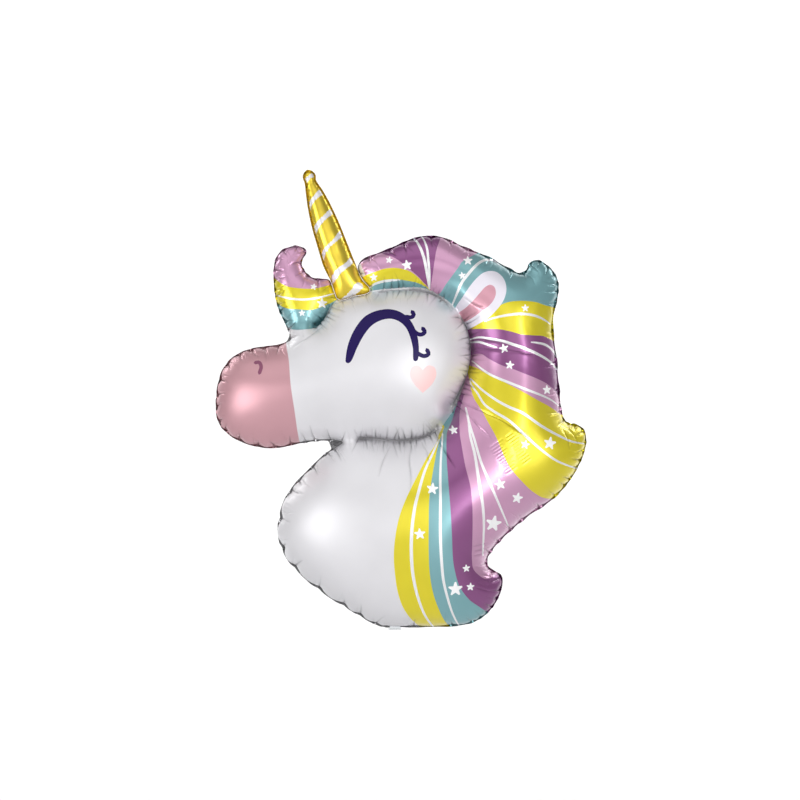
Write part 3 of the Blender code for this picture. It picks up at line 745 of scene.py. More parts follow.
# White bands of the horn: across its foot and up from it, in millimetres.
HORN_BANDS = [
    [(-37.4, 233), (-36.9, 243.3), (-26.5, 247.6), (-17.8, 251.8), (-15.8, 244.3),
     (-24.7, 241.9), (-33.5, 234.8)],
    [(-46.8, 173.7), (-45.8, 189.1), (-30.1, 204.6), (-9.4, 217), (-4.9, 207.8),
     (-17.6, 202.4), (-33.2, 192.4), (-42.1, 179.4)],
    [(-47.8, 128.3), (-46, 143.5), (-29, 158.6), (-13.6, 167.7), (4.4, 178.2), (5.4, 167.1),
     (-9.1, 160), (-27, 149.4), (-38.9, 137.3)],
    [(-40.1, 81.1), (-39.8, 96.2), (-27.5, 106.1), (-9.5, 116.6), (10.1, 133.2),
     (11.9, 121.9), (-1.9, 112.4), (-21.9, 102.4), (-33.2, 92.3)],
    [(-34.4, 33.5), (-32.5, 46.5), (-15.7, 59.5), (1.2, 66), (13.3, 74.8), (13.9, 62.7),
     (0.6, 55.3), (-16.8, 46.7), (-29.2, 36.9)],
    [(-29.5, -2.1), (-7, 9.4), (14.1, 23.5), (21.4, 14), (4.2, 2.1), (-18.8, -2.7)],
]


class Patch:
    """One printed area: its ink, its closed outline and the part of it that is an edge."""

    def __init__(self, ink, outline, edge=None):
        self.ink = ink
        self.outline = np.array(outline, dtype=float)
        if edge is None:
            edge = np.vstack([self.outline, self.outline[:1]])
        self.edge = edge


def stroke(ink, path, width, taper=True):
    """A brush line round a path, narrow at its ends."""
    path = spline(path)
    along = lengths(path) / lengths(path)[-1]
    ahead = np.gradient(path, axis=0)
    ahead /= np.linalg.norm(ahead, axis=1)[:, None]
    side = np.column_stack([-ahead[:, 1], ahead[:, 0]])
    half = np.full(len(path), 0.5 * width)
    if taper:
        half *= 0.35 + 0.65 * np.sin(math.pi * np.clip(along, 0.02, 0.98)) ** 0.6
    left, right = path + side * half[:, None], path - side * half[:, None]
    tips = [path[-1] + ahead[-1] * half[-1], path[0] - ahead[0] * half[0]]
    return Patch(ink, np.vstack([right, tips[:1], left[::-1], tips[1:]]))


def star(across, up, radius, turn):
    """A five-pointed star with softened points."""
    outline = []
    for i in range(10):
        reach = radius if i % 2 == 0 else radius * STAR_WAIST
        angle = turn + math.pi / 2 + i * math.pi / 5
        corners = [(angle - 0.10, 0.96 * reach), (angle + 0.10, 0.96 * reach)]
        if i % 2 == 1:
            corners = [(angle, reach)]
        outline += [(across + r * math.cos(a), up + r * math.sin(a)) for a, r in corners]
    return Patch("star", outline)


def beyond(ink, path, corners):
    """A printed area with one drawn edge, closed through corners outside the film."""
    edge = spline(path)
    return Patch(ink, np.vstack([edge, corners]), edge)


def body_print():
    """The balloon's printed areas, each one laid over those before it."""
    random = np.random.default_rng(11)
    patches = []
    for ink, count, path in STRANDS:
        patches.append(beyond(ink, path, MANE_CORNERS[len(MANE_CORNERS) - count:] + [HUB]))
    for ink, path in BROW_BANDS:
        patches.append(beyond(ink, path, BROW_FOOT))
    for width, path in MANE_LINES:
        patches.append(stroke("silver", path, MANE_LINE_SPREAD * width))
    patches.append(Patch("ear", spline(EAR, True)))
    patches.append(Patch("ear_lining", spline(EAR_LINING, True)))
    patches.append(Patch("white", spline(HEAD, True)))
    patches.append(stroke("silver", HEAD_LINE[1], HEAD_LINE[0]))
    patches.append(beyond("pink", FORELOCK_FOOT, FORELOCK_CORNERS))
    for ink, path in FORELOCK_BANDS:
        foot = spline(FORELOCK_FOOT)
        edge = spline(path)
        patches.append(Patch(ink, np.vstack([edge, foot, [(-0.260, 0.590)]]), edge))
    patches.append(stroke("silver", FORELOCK_LINE[1], FORELOCK_LINE[0]))
    patches.append(beyond("muzzle", MUZZLE_EDGE, MUZZLE_CORNERS))
    patches.append(Patch("eye", spline(EYE, True)))
    for path in LASHES:
        patches.append(stroke("eye", path, LASH_WIDTH, False))
    patches.append(Patch("heart", np.vstack([
        spline(HEART[:6]), spline(HEART[5:] + HEART[:1])[1:-1]])))
    patches.append(stroke("nostril", NOSTRIL, NOSTRIL_WIDTH, False))
    for across, up, radius in STARS:
        patches.append(star(across, up, radius, random.uniform(-STAR_TILT, STAR_TILT)))
    return patches


def horn_print():
    """The horn's white bands."""
    right = np.array([math.cos(HORN_LEAN), math.sin(HORN_LEAN)])
    up = np.array([-math.sin(HORN_LEAN), math.cos(HORN_LEAN)])
    patches = []
    for band in HORN_BANDS:
        outline = spline(np.array(band) / 1000, True, 0.002)
        outline = np.outer(outline[:, 0], right) + np.outer(outline[:, 1], up) + HORN_FOOT
        patches.append(Patch("white", outline))
    return patches


def patch_at(places, patches):
    """Number of the last patch that covers each place, or -1 where the film has none."""
    result = np.full(len(places), -1)
    for number, patch in enumerate(patches):
        result[inside(places, patch.outline)] = number
    return result


def visible_edges(patches, outer):
    """The runs of every patch's edge that part two inks, over the film."""
    inks = np.array([patch.ink for patch in patches] + ["white"])
    runs = []
    for patch in patches:
        a, b = patch.edge[:-1], patch.edge[1:]
        along = b - a
        side = np.column_stack([-along[:, 1], along[:, 0]])
        side *= 0.0004 / np.maximum(np.linalg.norm(side, axis=1), 1e-9)[:, None]
        middle = (a + b) / 2
        left, right = patch_at(middle + side, patches), patch_at(middle - side, patches)
        seen = (inks[left] != inks[right]) & inside(middle, outer)
        start = None
        for i, shown in enumerate(list(seen) + [False]):
            if shown and start is None:
                start = i
            elif not shown and start is not None:
                runs.append(patch.edge[start:i + 1])
                start = None
    return runs


# ---- creases ----

CREASE_WIDTH = 0.0013
CREASE_TURN = 0.35               # the most a crease turns from square to its weld, in radians
CREASE_BEND = 0.25
SHOULDER_RISE = 0.30             # film pushed up beside a crease against the crease's depth
SHOULDER_PLACE = 2.2             # and how far off, in crease widths
FOLD_SHADE = 0.42                # painted shade: colour left at the bottom of the deepest crease
# Long folds drawn by the welds: their depth and their course.
FOLDS = [
    (0.0016, [(0.128, 0.437), (0.160, 0.424), (0.196, 0.407), (0.228, 0.387), (0.252, 0.372)]),
    (0.0011, [(0.140, 0.436), (0.176, 0.418), (0.214, 0.397)]),
    (0.0013, [(0.074, 0.378), (0.088, 0.356), (0.101, 0.335), (0.112, 0.316)]),
    (0.0010, [(0.130, 0.425), (0.158, 0.392), (0.180, 0.372)]),
    (0.0010, [(0.030, 0.360), (0.027, 0.330), (0.030, 0.300), (0.029, 0.270)]),
    (0.0010, [(-0.010, 0.356), (-0.022, 0.330), (-0.030, 0.300)]),
    (0.0009, [(0.052, 0.362), (0.060, 0.345), (0.064, 0.325)]),
    (0.0012, [(-0.105, 0.640), (-0.128, 0.617), (-0.156, 0.590), (-0.186, 0.566)]),
    (0.0012, [(-0.130, 0.594), (-0.165, 0.566), (-0.198, 0.545)]),
    (0.0010, [(-0.212, 0.566), (-0.196, 0.552), (-0.176, 0.543)]),
    (0.0012, [(0.130, 0.640), (0.150, 0.625), (0.172, 0.617)]),
    (0.0014, [(0.330, 0.392), (0.344, 0.376), (0.352, 0.356)]),
    (0.0013, [(0.322, 0.388), (0.330, 0.370), (0.333, 0.350)]),
    (0.0012, [(0.145, 0.560), (0.185, 0.556), (0.225, 0.548)]),
    (0.0012, [(0.144, 0.545), (0.180, 0.540), (0.222, 0.536), (0.262, 0.530)]),
]
# Rows of short parallel folds: first fold, step to the next, how many and the depth.
FOLD_ROWS = [
    (((0.176, 0.353), (0.204, 0.372)), (0.0031, -0.0049), 11, 0.0008),
    (((0.206, 0.372), (0.226, 0.386)), (0.0031, -0.0051), 11, 0.0008),
    (((0.150, 0.165), (0.186, 0.170)), (0.0012, -0.0090), 6, 0.0009),
    (((0.168, 0.118), (0.196, 0.108)), (-0.0035, -0.0080), 5, 0.0008),
]
CREASE_DEPTHS = (0.0009, 0.0024)
CREASE_LENGTHS = (0.012, 0.036)


def ray(start, way, length, bend, count=9):
    """A slightly bent line that runs off a weld."""
    along = np.linspace(0.0008, length, count)[:, None]
    side = np.array([-way[1], way[0]])
    return start + way * along + side * bend * along ** 2 / length


def creases(film, phase, seed, depths, span, folds=(), rows=()):
    """Folds in the film as pairs of a path and the depth at each of its points."""
    random = np.random.default_rng(seed)
    found = []
    outward = normals_of(film.weld)
    valleys = np.where(np.diff(np.floor(phase)) > 0)[0]
    starts = [(film.weld[i], -outward[i]) for i in valleys]
    for band in film.bands:
        away = normals_of(band)
        place = 0.0
        for i in range(len(band)):
            place += BAND_STEP
            if place > BAND_PITCH * random.uniform(0.4, 1.1):
                starts.append((band[i], away[i]))
                place = 0.0
    for start, way in starts:
        turn = random.uniform(-CREASE_TURN, CREASE_TURN)
        way = np.array([way[0] * math.cos(turn) - way[1] * math.sin(turn),
                        way[0] * math.sin(turn) + way[1] * math.cos(turn)])
        length = random.uniform(*span) * random.uniform(0.6, 1.0)
        path = ray(start, way, length, random.uniform(-CREASE_BEND, CREASE_BEND))
        if inside(path, film.weld).all() and not any(inside(path, b).any() for b in film.bands):
            fade = 1 - np.linspace(0, 1, len(path)) ** 1.3
            found.append((path, random.uniform(*depths) * fade))
    drawn = list(folds)
    for (first, last), step, count, depth in rows:
        for i in range(count):
            reach = random.uniform(0.75, 1.0)
            ends = np.array([first, last]) * reach + np.array(first) * (1 - reach)
            drawn.append((depth, resample(ends + np.array(step) * i, 0.003)))
    for depth, path in drawn:
        path = spline(path) if len(path) > 2 else np.array(path)
        swell = np.sin(math.pi * np.linspace(0.04, 0.96, len(path))) ** 0.6
        if inside(path, film.weld).all():
            found.append((path, depth * swell))
    return found


def crease_depth(flat, found):
    """How far each flat place sinks into the nearest crease."""
    places, depths = [], []
    for path, depth in found:
        fine = resample(np.column_stack([path, depth]), 0.0005)
        places.append(fine[:, :2])
        depths.append(fine[:, 2])
    number, distance = nearest(flat, np.vstack(places))
    away = distance / CREASE_WIDTH
    bottom, shoulders = np.exp(-away ** 2), np.exp(-(away - SHOULDER_PLACE) ** 2)
    return np.concatenate(depths)[number] * (bottom - SHOULDER_RISE * shoulders)


# ---- skins ----

def printed_film(film, patches, spacing, reserve, found):
    """Film cut along its print and its creases: flat places, triangles and each one's ink."""
    for patch in patches:
        patch.outline = film.laid_back(patch.outline)
        patch.edge = film.laid_back(patch.edge)
    runs = visible_edges(patches, film.outer)
    points = film_points(film.outer, film.weld, film.bands, spacing)
    if runs:
        points = points[distance_to(points, np.vstack(runs)) > PRINT_CLEAR]
    lines = np.vstack([path for path, _ in found])
    fine_lines = np.vstack([resample(path, 0.001) for path, _ in found])
    points = points[distance_to(points, fine_lines) > 1.6 * CREASE_WIDTH]
    flanks = []
    for path, _ in found:
        ahead = np.gradient(path, axis=0)
        ahead /= np.linalg.norm(ahead, axis=1)[:, None]
        side = np.column_stack([-ahead[:, 1], ahead[:, 0]]) * CREASE_WIDTH
        flanks += [(path + side)[1:-1], (path - side)[1:-1]]
    flanks = np.vstack(flanks)
    flanks = flanks[inside(flanks, film.weld)]
    flanks = flanks[distance_to(flanks, lines) > 0.8 * CREASE_WIDTH]
    if runs:
        flanks = flanks[distance_to(flanks, np.vstack(runs)) > PRINT_CLEAR]
    for band in film.bands:
        flanks = flanks[~inside(flanks, band)]
    points = np.vstack([points, flanks])
    paths = [(film.weld, True)] + [(band, True) for band in film.bands]
    paths += [(run, False) for run in runs if len(run) > 1]
    paths += [(path, False) for path, _ in found]
    flat, faces = triangulated(film.outer, paths, points)
    inks = np.array([patch.ink for patch in patches] + [reserve])
    return flat, faces, inks[patch_at(flat[faces].mean(axis=1), patches)]


def ruffle(film, flat, phase, size):
    """Out-of-plane waves of the welded margin, still at the weld and full at the edge."""
    number, away = nearest(flat, film.weld)
    turn = math.pi * phase[number]
    wave = np.sin(2 * turn) + 0.5 * np.sin(5.1 * turn)
    return size * wave * np.clip(away * ~inside(flat, film.weld) / MARGIN_SHOWN, 0, 1) ** 1.2


def closed_film(name, outside, within, faces, inks, palette):
    """A sheet closed between its outer and inner surface; each face keeps its ink."""
    used, faces = np.unique(faces, return_inverse=True)
    faces = faces.reshape(-1, 3)
    count = len(used)
    rim = boundary_edges(faces)
    a, b = rim[:, 0], rim[:, 1]
    walls = np.vstack([np.column_stack([b, a, a + count]),
                       np.column_stack([b, a + count, b + count])])
    everything = np.vstack([faces, faces[:, ::-1] + count, walls])
    piece = new_mesh(name, np.vstack([outside[used], within[used]]), everything)
    names = list(dict.fromkeys(inks))
    for ink in names:
        piece.data.materials.append(palette[ink])
    piece.data.materials.append(palette["lining"])
    number = {ink: i for i, ink in enumerate(names)}
    slots = np.full(len(everything), len(names), dtype=np.int32)
    slots[:len(faces)] = [number[ink] for ink in inks]
    piece.data.polygons.foreach_set("material_index", slots)
    piece.data.update()
    return piece


WELD_STEP = 0.001


def store(piece, label, values):
    """Puts a value on each of a sheet's points for its material."""
    attribute = piece.data.attributes.new(label, "FLOAT", "POINT")
    attribute.data.foreach_set("value", np.array(values, dtype=np.float32))


def mark_folds(piece, depth):
    """Stores how deep in a crease each point of both faces of a sheet is."""
    store(piece, "fold", np.tile(np.clip(depth / CREASE_DEPTHS[1], 0, 1), 2))


def mark_pleats(piece, film, phase):
    """Stores each point's place along the welds, its lobe and its distance from them."""
    closed = np.vstack([film.weld, film.weld[:1]])
    whole = np.append(phase, 2 * phase[-1] - phase[-2])
    dense = [around(film.weld, WELD_STEP)]
    at = np.linspace(0, 1, len(dense[0]))
    lobes = [np.interp(at, lengths(closed) / lengths(closed)[-1], whole)]
    random = np.random.default_rng(3)
    for band in film.bands:
        dense.append(around(band, WELD_STEP))
        lobes.append(np.cumsum(random.uniform(0.4, 1.6, len(dense[-1])) * WELD_STEP / BAND_PITCH))
    places = np.zeros(len(piece.data.vertices) * 3)
    piece.data.vertices.foreach_get("co", places)
    number, away = nearest(places.reshape(-1, 3)[:, [0, 2]], np.vstack(dense))
    store(piece, "round", number * WELD_STEP)
    store(piece, "lobe", np.concatenate(lobes)[number])
    store(piece, "rim", away)


def shaded(piece):
    """Smooth shading, with the sheet's folded edge kept sharp."""
    for other in bpy.context.selected_objects:
        other.select_set(False)
    bpy.context.view_layer.objects.active = piece
    piece.select_set(True)
    bpy.ops.object.shade_smooth_by_angle(angle=math.radians(50))
    piece.select_set(False)


def skins(name, film, patches, spacing, reserve, phase, ruffles, found, palette):
    """Front and rear sheets of one pocket, and the fused film between them."""
    flat, faces, inks = printed_film(film, patches, spacing, reserve, found)
    free = free_faces(flat, faces, film.weld, film.bands)
    margin = ~inside(flat[faces].mean(axis=1), film.weld)
    # Faces on a fused band or on the curled margin take darker copies of their ink: painted shade.
    fused = np.char.add(np.where(margin, "dark_", "seam_"), inks.astype(str))
    inks = np.where(margin | ~free, fused, inks)
    front = film.surface(flat)
    wave = ruffle(film, flat, phase, ruffles)
    lean = vertex_normals(front, faces)
    rise = np.clip(-front[:, 1] - 3 * FILM, 0, None)
    sink = np.minimum(crease_depth(flat, found), 0.6 * rise)
    front = front - lean * sink[:, None]
    within = front - lean * FILM
    held = np.ones(len(flat), dtype=bool)
    held[np.setdiff1d(faces[free], faces[~free])] = False
    within[held] = front[held] + (0.0, FILM, 0.0)
    drift = np.column_stack([np.zeros(len(flat)), wave, np.zeros(len(flat))])
    sheet = closed_film(f"{name}_front_skin", front + drift, within + drift, faces, inks, palette)
    mirror = np.array([1.0, -1.0, 1.0])
    back = closed_film(f"{name}_rear_skin", front * mirror + drift, within * mirror + drift,
                       faces, inks, palette)
    back.data.flip_normals()
    seams = []
    half = 0.8 * SKIN_GAP
    plane = np.column_stack([flat[:, 0], np.zeros(len(flat)), flat[:, 1]]) + drift
    for label, part in (("edge_seam", margin), ("head_seams", ~margin & ~free)):
        if part.any():
            part_inks = np.full(int(part.sum()), "margin")
            seams.append(closed_film(f"{name}_{label}", plane - (0, half, 0), plane + (0, half, 0),
                                     faces[part], part_inks, palette))
    for piece in [sheet, back]:
        mark_pleats(piece, film, phase)
        mark_folds(piece, sink[np.unique(faces)])
    for piece in [sheet, back] + seams:
        shaded(piece)
    return sheet, back, seams


# ---- materials ----

COAT_ROUGHNESS = 0.22
PLEAT_REACH = 0.034              # how far pleats run from a weld of the body
HORN_PLEAT_REACH = 0.007
PLEATS_A_METRE = 190.0
PLEAT_LENGTH = 22.0              # the higher, the shorter each pleat
FINE_CRINKLE = 95.0
BROAD_MOTTLE = 16.0


def shader(name, colour, metallic, roughness, coat=0.0):
    """A material, its nodes, its links and its principled shader."""
    material = bpy.data.materials.new(name)
    material.use_nodes = True
    nodes, links = material.node_tree.nodes, material.node_tree.links
    principled = nodes["Principled BSDF"]
    principled.inputs["Base Color"].default_value = (*colour, 1.0)
    principled.inputs["Metallic"].default_value = metallic
    principled.inputs["Roughness"].default_value = roughness
    principled.inputs["Coat Weight"].default_value = coat
    principled.inputs["Coat Roughness"].default_value = COAT_ROUGHNESS
    return material, nodes, links, principled


def noise(nodes, links, vector, scale, detail):
    texture = nodes.new("ShaderNodeTexNoise")
    texture.inputs["Scale"].default_value = scale
    texture.inputs["Detail"].default_value = detail
    links.new(vector, texture.inputs["Vector"])
    return texture.outputs["Fac"]


def stored(nodes, label):
    """Output of an attribute that the sheet carries."""
    node = nodes.new("ShaderNodeAttribute")
    node.attribute_name = label
    return node.outputs["Fac"]


def fed(links, sockets, values):
    """Sets each socket to a plain value, or links it to another node's output."""
    for socket, value in zip(sockets, values):
        if isinstance(value, bpy.types.NodeSocket):
            links.new(value, socket)
        else:
            socket.default_value = value


def math_node(nodes, links, operation, first, second=0.0):
    node = nodes.new("ShaderNodeMath")
    node.operation = operation
    fed(links, node.inputs, (first, second))
    return node.outputs[0]


def mixed(nodes, links, share, first, second):
    """A colour between two, by a share of the second."""
    node = nodes.new("ShaderNodeMix")
    node.data_type = "RGBA"
    fed(links, (node.inputs[0], node.inputs[6], node.inputs[7]), (share, first, second))
    return node.outputs[2]


def bumped(nodes, links, principled, height, strength, distance):
    """Bump on a shader from a height."""
    bump = nodes.new("ShaderNodeBump")
    bump.inputs["Strength"].default_value = strength
    bump.inputs["Distance"].default_value = distance
    links.new(height, bump.inputs["Height"])
    links.new(bump.outputs["Normal"], principled.inputs["Normal"])


def foil(name, colour, metallic, roughness, crinkle=1.0, mottle=0.05, reach=PLEAT_REACH,
         coat=0.0):
    """Printed or bare metallised film: fine crinkle all over and pleats that run off its welds."""
    material, nodes, links, principled = shader(name, colour, metallic, roughness, coat)
    place = nodes.new("ShaderNodeTexCoord").outputs["Object"]
    rim = stored(nodes, "rim")

    low = tuple(c * (1 - mottle) for c in colour)
    high = tuple(min(1.0, c * (1 + mottle)) for c in colour)
    tint = mixed(nodes, links, noise(nodes, links, place, BROAD_MOTTLE, 1.5), (*low, 1.0),
                 (*high, 1.0))
    # Painted shade: the colour darkens towards FOLD_SHADE of itself as the film sinks into a crease.
    shade = (*(FOLD_SHADE * c for c in colour), 1.0)
    links.new(mixed(nodes, links, stored(nodes, "fold"), tint, shade),
              principled.inputs["Base Color"])

    fade = nodes.new("ShaderNodeMapRange")
    fade.inputs["From Max"].default_value = reach
    fade.inputs["To Min"].default_value = 1.0
    fade.inputs["To Max"].default_value = 0.0
    links.new(rim, fade.inputs["Value"])
    near = fade.outputs[0]

    along = nodes.new("ShaderNodeCombineXYZ")
    links.new(math_node(nodes, links, "MULTIPLY", stored(nodes, "round"), PLEATS_A_METRE),
              along.inputs[0])
    links.new(math_node(nodes, links, "MULTIPLY", rim, PLEAT_LENGTH), along.inputs[1])
    pleat = noise(nodes, links, along.outputs[0], 1.0, 1.0)
    pleats = math_node(nodes, links, "MULTIPLY", pleat,
                       math_node(nodes, links, "MULTIPLY", near, near))

    wander = math_node(nodes, links, "MULTIPLY", noise(nodes, links, place, 30.0, 1.0), 0.3)
    turned = math_node(nodes, links, "ADD", stored(nodes, "lobe"), wander)
    across = math_node(nodes, links, "SUBTRACT", math_node(nodes, links, "FRACT", turned), 0.5)
    across = math_node(nodes, links, "MULTIPLY", math_node(nodes, links, "ABSOLUTE", across), 2.0)
    valley = math_node(nodes, links, "POWER", across, 14.0)
    groove = math_node(nodes, links, "MULTIPLY", valley, near)

    fine = noise(nodes, links, place, FINE_CRINKLE, 2.0)
    height = math_node(nodes, links, "MULTIPLY", fine, 0.10 * crinkle)
    height = math_node(nodes, links, "ADD", height, pleats)
    height = math_node(nodes, links, "SUBTRACT", height, groove)
    bumped(nodes, links, principled, height, 0.55, 0.0022)
    return material


def linear(red, green, blue):
    """A screen colour of 0 to 255 in linear light."""
    return tuple(((c / 255 + 0.055) / 1.055) ** 2.4 for c in (red, green, blue))


def toned(share, colour):
    """A darker shade of a colour."""
    return tuple(share * c for c in colour)


INKS = {
    "white": (224, 223, 226), "pink": (214, 162, 196), "yellow": (238, 222, 44),
    "teal": (132, 182, 188), "purple": (148, 86, 140), "muzzle": (208, 159, 167),
    "ear": (238, 234, 244), "ear_lining": (226, 166, 182), "heart": (243, 203, 202),
    "star": (254, 254, 255),
}
GLOSSY = (0.50, 0.31)            # how metallic and how rough the mane's inks are
GLOSS_COAT = 0.5
# The same for the inks that have no gloss coat.
SATIN = {
    "white": (0.17, 0.40), "ear": (0.20, 0.36), "muzzle": (0.38, 0.37), "heart": (0.17, 0.40),
    "star": (0.10, 0.40),
}
SEAM_PAINTED_SHADE = 0.60                 # painted shade: colour left on a fused band inside the outline
MARGIN_PAINTED_SHADE = 0.24               # and painted shade on the curled margin outside it


def make_palette():
    """Each ink on the film, and darker copies with painted shade on a fused band (seam_) and on the
    outer margin (dark_).
    """
    palette = {}
    for ink, screen in INKS.items():
        colour = linear(*screen)
        metallic, roughness = SATIN.get(ink, GLOSSY)
        coat = 0.0 if ink in SATIN else GLOSS_COAT
        palette[ink] = foil(f"ink_{ink}", colour, metallic, roughness, 0.4, coat=coat)
        # painted shade on the fused bands: a darker copy of each ink
        palette[f"seam_{ink}"] = foil(f"seam_{ink}", toned(SEAM_PAINTED_SHADE, colour), 0.60, 0.28, 2.0)
        # painted shade on the curled margin: a much darker, fully metallic copy of each ink
        palette[f"dark_{ink}"] = foil(f"margin_{ink}", toned(MARGIN_PAINTED_SHADE, colour), 1.0, 0.16, 2.0)
    eye = foil("ink_eye", linear(30, 12, 82), 0.05, 0.42)
    eye.node_tree.nodes["Principled BSDF"].inputs["Specular IOR Level"].default_value = 0.22
    nostril = foil("ink_nostril", linear(140, 80, 108), 0.30, 0.32)
    silver = foil("bare_silver", linear(254, 254, 255), 0.55, 0.34, 0.3)
    for ink, material in (("eye", eye), ("nostril", nostril), ("silver", silver)):
        for place in ("", "seam_", "dark_"):
            palette[place + ink] = material
    # painted shade on the silver lines where they reach the curled margin
    palette["dark_silver"] = foil("margin_silver", linear(190, 192, 198), 1.0, 0.16, 2.0)
    palette["margin"] = foil("welded_silver", linear(150, 152, 158), 1.0, 0.20, 2.0)
    palette["lining"] = foil("film_inside", linear(200, 202, 206), 0.9, 0.35)
    return palette


def make_horn_palette(palette):
    gold = foil("mirror_gold", linear(254, 224, 80), 0.90, 0.31, 0.12, 0.04, HORN_PLEAT_REACH)
    white = foil("horn_white", linear(244, 243, 246), 0.35, 0.25, 0.15, 0.03, HORN_PLEAT_REACH)
    # painted shade: one dark gold on the horn's curled margin, whatever its ink; the horn's welded
    # seams take it too
    margin = foil("margin_gold", linear(150, 116, 10), 1.0, 0.18, 1.5)
    return dict(palette, gold=gold, white=white, dark_gold=margin, dark_white=margin,
                margin=margin)


# ---- body ----

WELD_SPACING = 0.0032
EDGE_SPACING = 0.0030
EDGE_LEFT = 0.0012               # margin left where the weld is moved out beside the horn
RUFFLE = 0.0018
BODY_SEED = 21

palette = make_palette()
outer, weld, bands = body_outlines()
horn_outer, horn_weld = flat_loops("horn_front_sheet")[:2]

ring, phase = gathered(around(spline(weld, True, FINE_STEP), WELD_SPACING), seed=5)
ring = drawn_close(ring, outer, horn_outer, EDGE_LEFT)
bands = [around(spline(band, True, FINE_STEP), BAND_STEP) for band in bands]
bands = [band - normals_of(band) * BAND_TRIM for band in bands]
edge = around(tucked(outer, ring, phase), EDGE_SPACING)
body_film = Film("body", edge, ring, bands, SIM_FILM, BODY_MOVE, BODY_CREASE_REACH)
body_creases = creases(body_film, phase, BODY_SEED, CREASE_DEPTHS, CREASE_LENGTHS, FOLDS, FOLD_ROWS)
body_front, body_rear, body_seams = skins(
    "body", body_film, body_print(), SKIN_FILM, "white", phase, RUFFLE, body_creases, palette)
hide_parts("front_sheet")
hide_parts("rear_sheet")
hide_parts("edge_seal")
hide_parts(*HEAD_BANDS)


# ---- horn ----

HORN_WELD_SPACING = 0.0022
HORN_LOBE = 0.013
HORN_EDGE_LEFT = 0.0009
HORN_RUFFLE = 0.0004
HORN_SEED = 8
HORN_FINE_STEP = 0.0015
HORN_CREASE_DEPTHS = (0.0002, 0.0007)
HORN_CREASE_LENGTHS = (0.005, 0.012)

horn_ring = around(spline(horn_weld, True, HORN_FINE_STEP), HORN_WELD_SPACING)
horn_ring = drawn_close(horn_ring, horn_outer, outer, HORN_EDGE_LEFT)
horn_edge = around(spline(horn_outer, True, HORN_FINE_STEP), EDGE_SPACING)
horn_phase = np.arange(len(horn_ring)) * HORN_WELD_SPACING / HORN_LOBE
horn_film = Film("horn", horn_edge, horn_ring, [], HORN_SIM_FILM, HORN_MOVE, HORN_CREASE_REACH)
horn_creases = creases(horn_film, horn_phase, HORN_SEED, HORN_CREASE_DEPTHS, HORN_CREASE_LENGTHS)
horn_front, horn_rear, horn_seams = skins(
    "horn", horn_film, horn_print(), HORN_SKIN_FILM, "gold", horn_phase, HORN_RUFFLE,
    horn_creases, make_horn_palette(palette))
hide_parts("horn_front_sheet")
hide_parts("horn_rear_sheet")
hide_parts("horn_edge_seal")


# ---- what each piece rides on ----

for piece in [body_front, body_rear] + body_seams:
    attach(piece, "balloon")
for piece in [horn_front, horn_rear] + horn_seams:
    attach(piece, "horn")

for node in ("fill_tail_front", "fill_tail_rear", "tail_side_seal_left", "tail_side_seal_right"):
    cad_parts[node].data.materials[0] = foil("tail_silver", linear(224, 226, 230), 1.0, 0.18)
for node in ("valve_front_film", "valve_rear_film"):
    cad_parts[node].data.materials[0] = foil("valve_clear", linear(226, 230, 232), 0.0, 0.25)


# ---- studio ----

FLOOR_LEVEL = -0.62
FLOOR_HALF_WIDTH = 6.0
# The paper's course: how far back and how high over the floor.
SWEEP = [
    (-6.0, 0.0), (1.3, 0.0), (2.2, 0.0), (2.7, 0.07), (3.1, 0.28), (3.38, 0.65), (3.5, 1.2),
    (3.5, 5.5),
]


def paper(name, colour, roughness):
    """Matt backdrop paper with a faint grain."""
    material, nodes, links, principled = shader(name, colour, 0.0, roughness)
    place = nodes.new("ShaderNodeTexCoord").outputs["Object"]
    bumped(nodes, links, principled, noise(nodes, links, place, 40.0, 3.0), 0.05, 0.001)
    return material


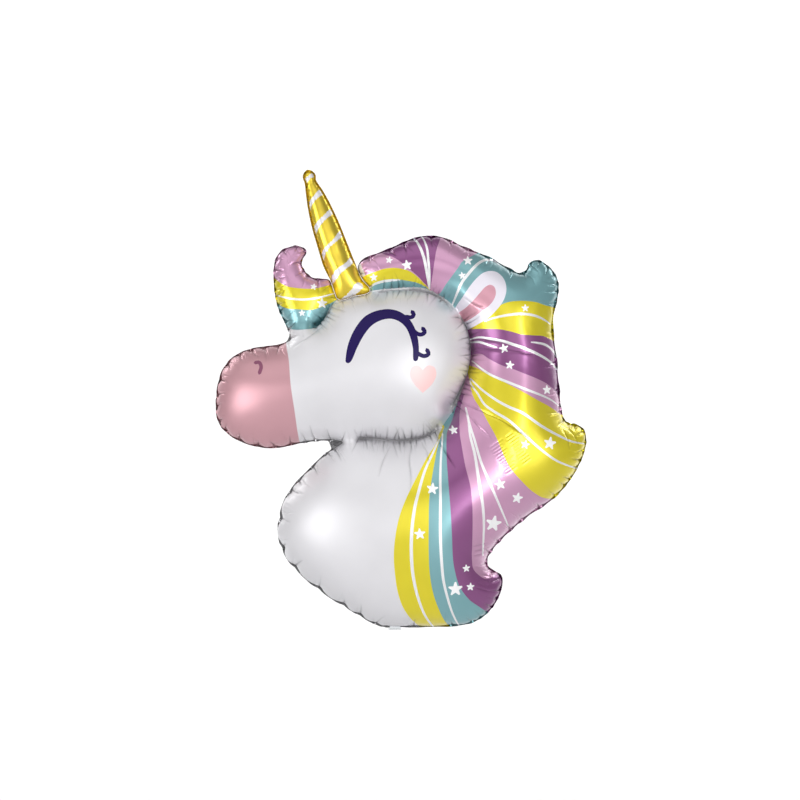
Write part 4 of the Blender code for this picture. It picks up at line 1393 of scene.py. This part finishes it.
sweep_points = [(x, y, FLOOR_LEVEL + z)
                for y, z in SWEEP for x in (-FLOOR_HALF_WIDTH, FLOOR_HALF_WIDTH)]
sweep_faces = [(2 * i, 2 * i + 1, 2 * i + 3, 2 * i + 2) for i in range(len(SWEEP) - 1)]
sweep = new_mesh("paper_sweep", sweep_points, sweep_faces)
sweep.data.shade_smooth()
sweep.data.materials.append(paper("white_paper", (0.93, 0.93, 0.93), 0.9))
sweep.data.materials.append(paper("pale_floor", (0.66, 0.66, 0.67), 0.8))
sweep.data.polygons[0].material_index = 1

MIDDLE = (0.0, 0.0, 0.42)
# Softboxes: name, place, what each points at, its size and its power.
SOFTBOXES = [
    ("key", (-2.5, -2.0, 0.30), MIDDLE, (1.5, 2.2), 39.0),
    ("strip", (1.75, -3.3, 0.50), (0.28, 0.0, 0.40), (0.80, 2.2), 42.0),
    ("side", (2.7, -2.2, 0.2), (0.2, 0.0, 0.25), (1.4, 1.8), 12.0),
    ("front", (0.0, -6.2, 0.9), MIDDLE, (5.0, 3.6), 42.0),
    ("overhead", (-0.6, -1.4, 2.7), MIDDLE, (3.8, 2.6), 19.0),
    ("paper_left", (-2.6, 1.8, 2.4), (-0.8, 3.5, 0.9), (1.4, 2.0), 60.0),
    ("paper_right", (2.6, 1.8, 2.4), (0.8, 3.5, 0.9), (1.4, 2.0), 60.0),
]
for name, place, target, size, power in SOFTBOXES:
    lamp = bpy.data.lights.new(name, "AREA")
    lamp.shape = "ELLIPSE"
    lamp.size, lamp.size_y = size
    lamp.energy = power
    holder = bpy.data.objects.new(name, lamp)
    bpy.context.scene.collection.objects.link(holder)
    holder.location = place
    holder.rotation_euler = (Vector(target) - Vector(place)).to_track_quat("-Z", "Y").to_euler()

world = bpy.data.worlds.new("studio")
bpy.context.scene.world = world
world.use_nodes = True
world.node_tree.nodes["Background"].inputs["Color"].default_value = (0.82, 0.82, 0.83, 1.0)
world.node_tree.nodes["Background"].inputs["Strength"].default_value = 0.30
bpy.context.scene.view_settings.view_transform = "Standard"

camera = bpy.data.objects.new("camera", bpy.data.cameras.new("camera"))
bpy.context.scene.collection.objects.link(camera)
camera.location = (0.0097, -4.311, 0.4435)
camera.rotation_euler = (math.pi / 2, 0.0, 0.0)
camera.data.lens = 100.0
camera.data.sensor_width = 36.0
bpy.context.scene.camera = camera
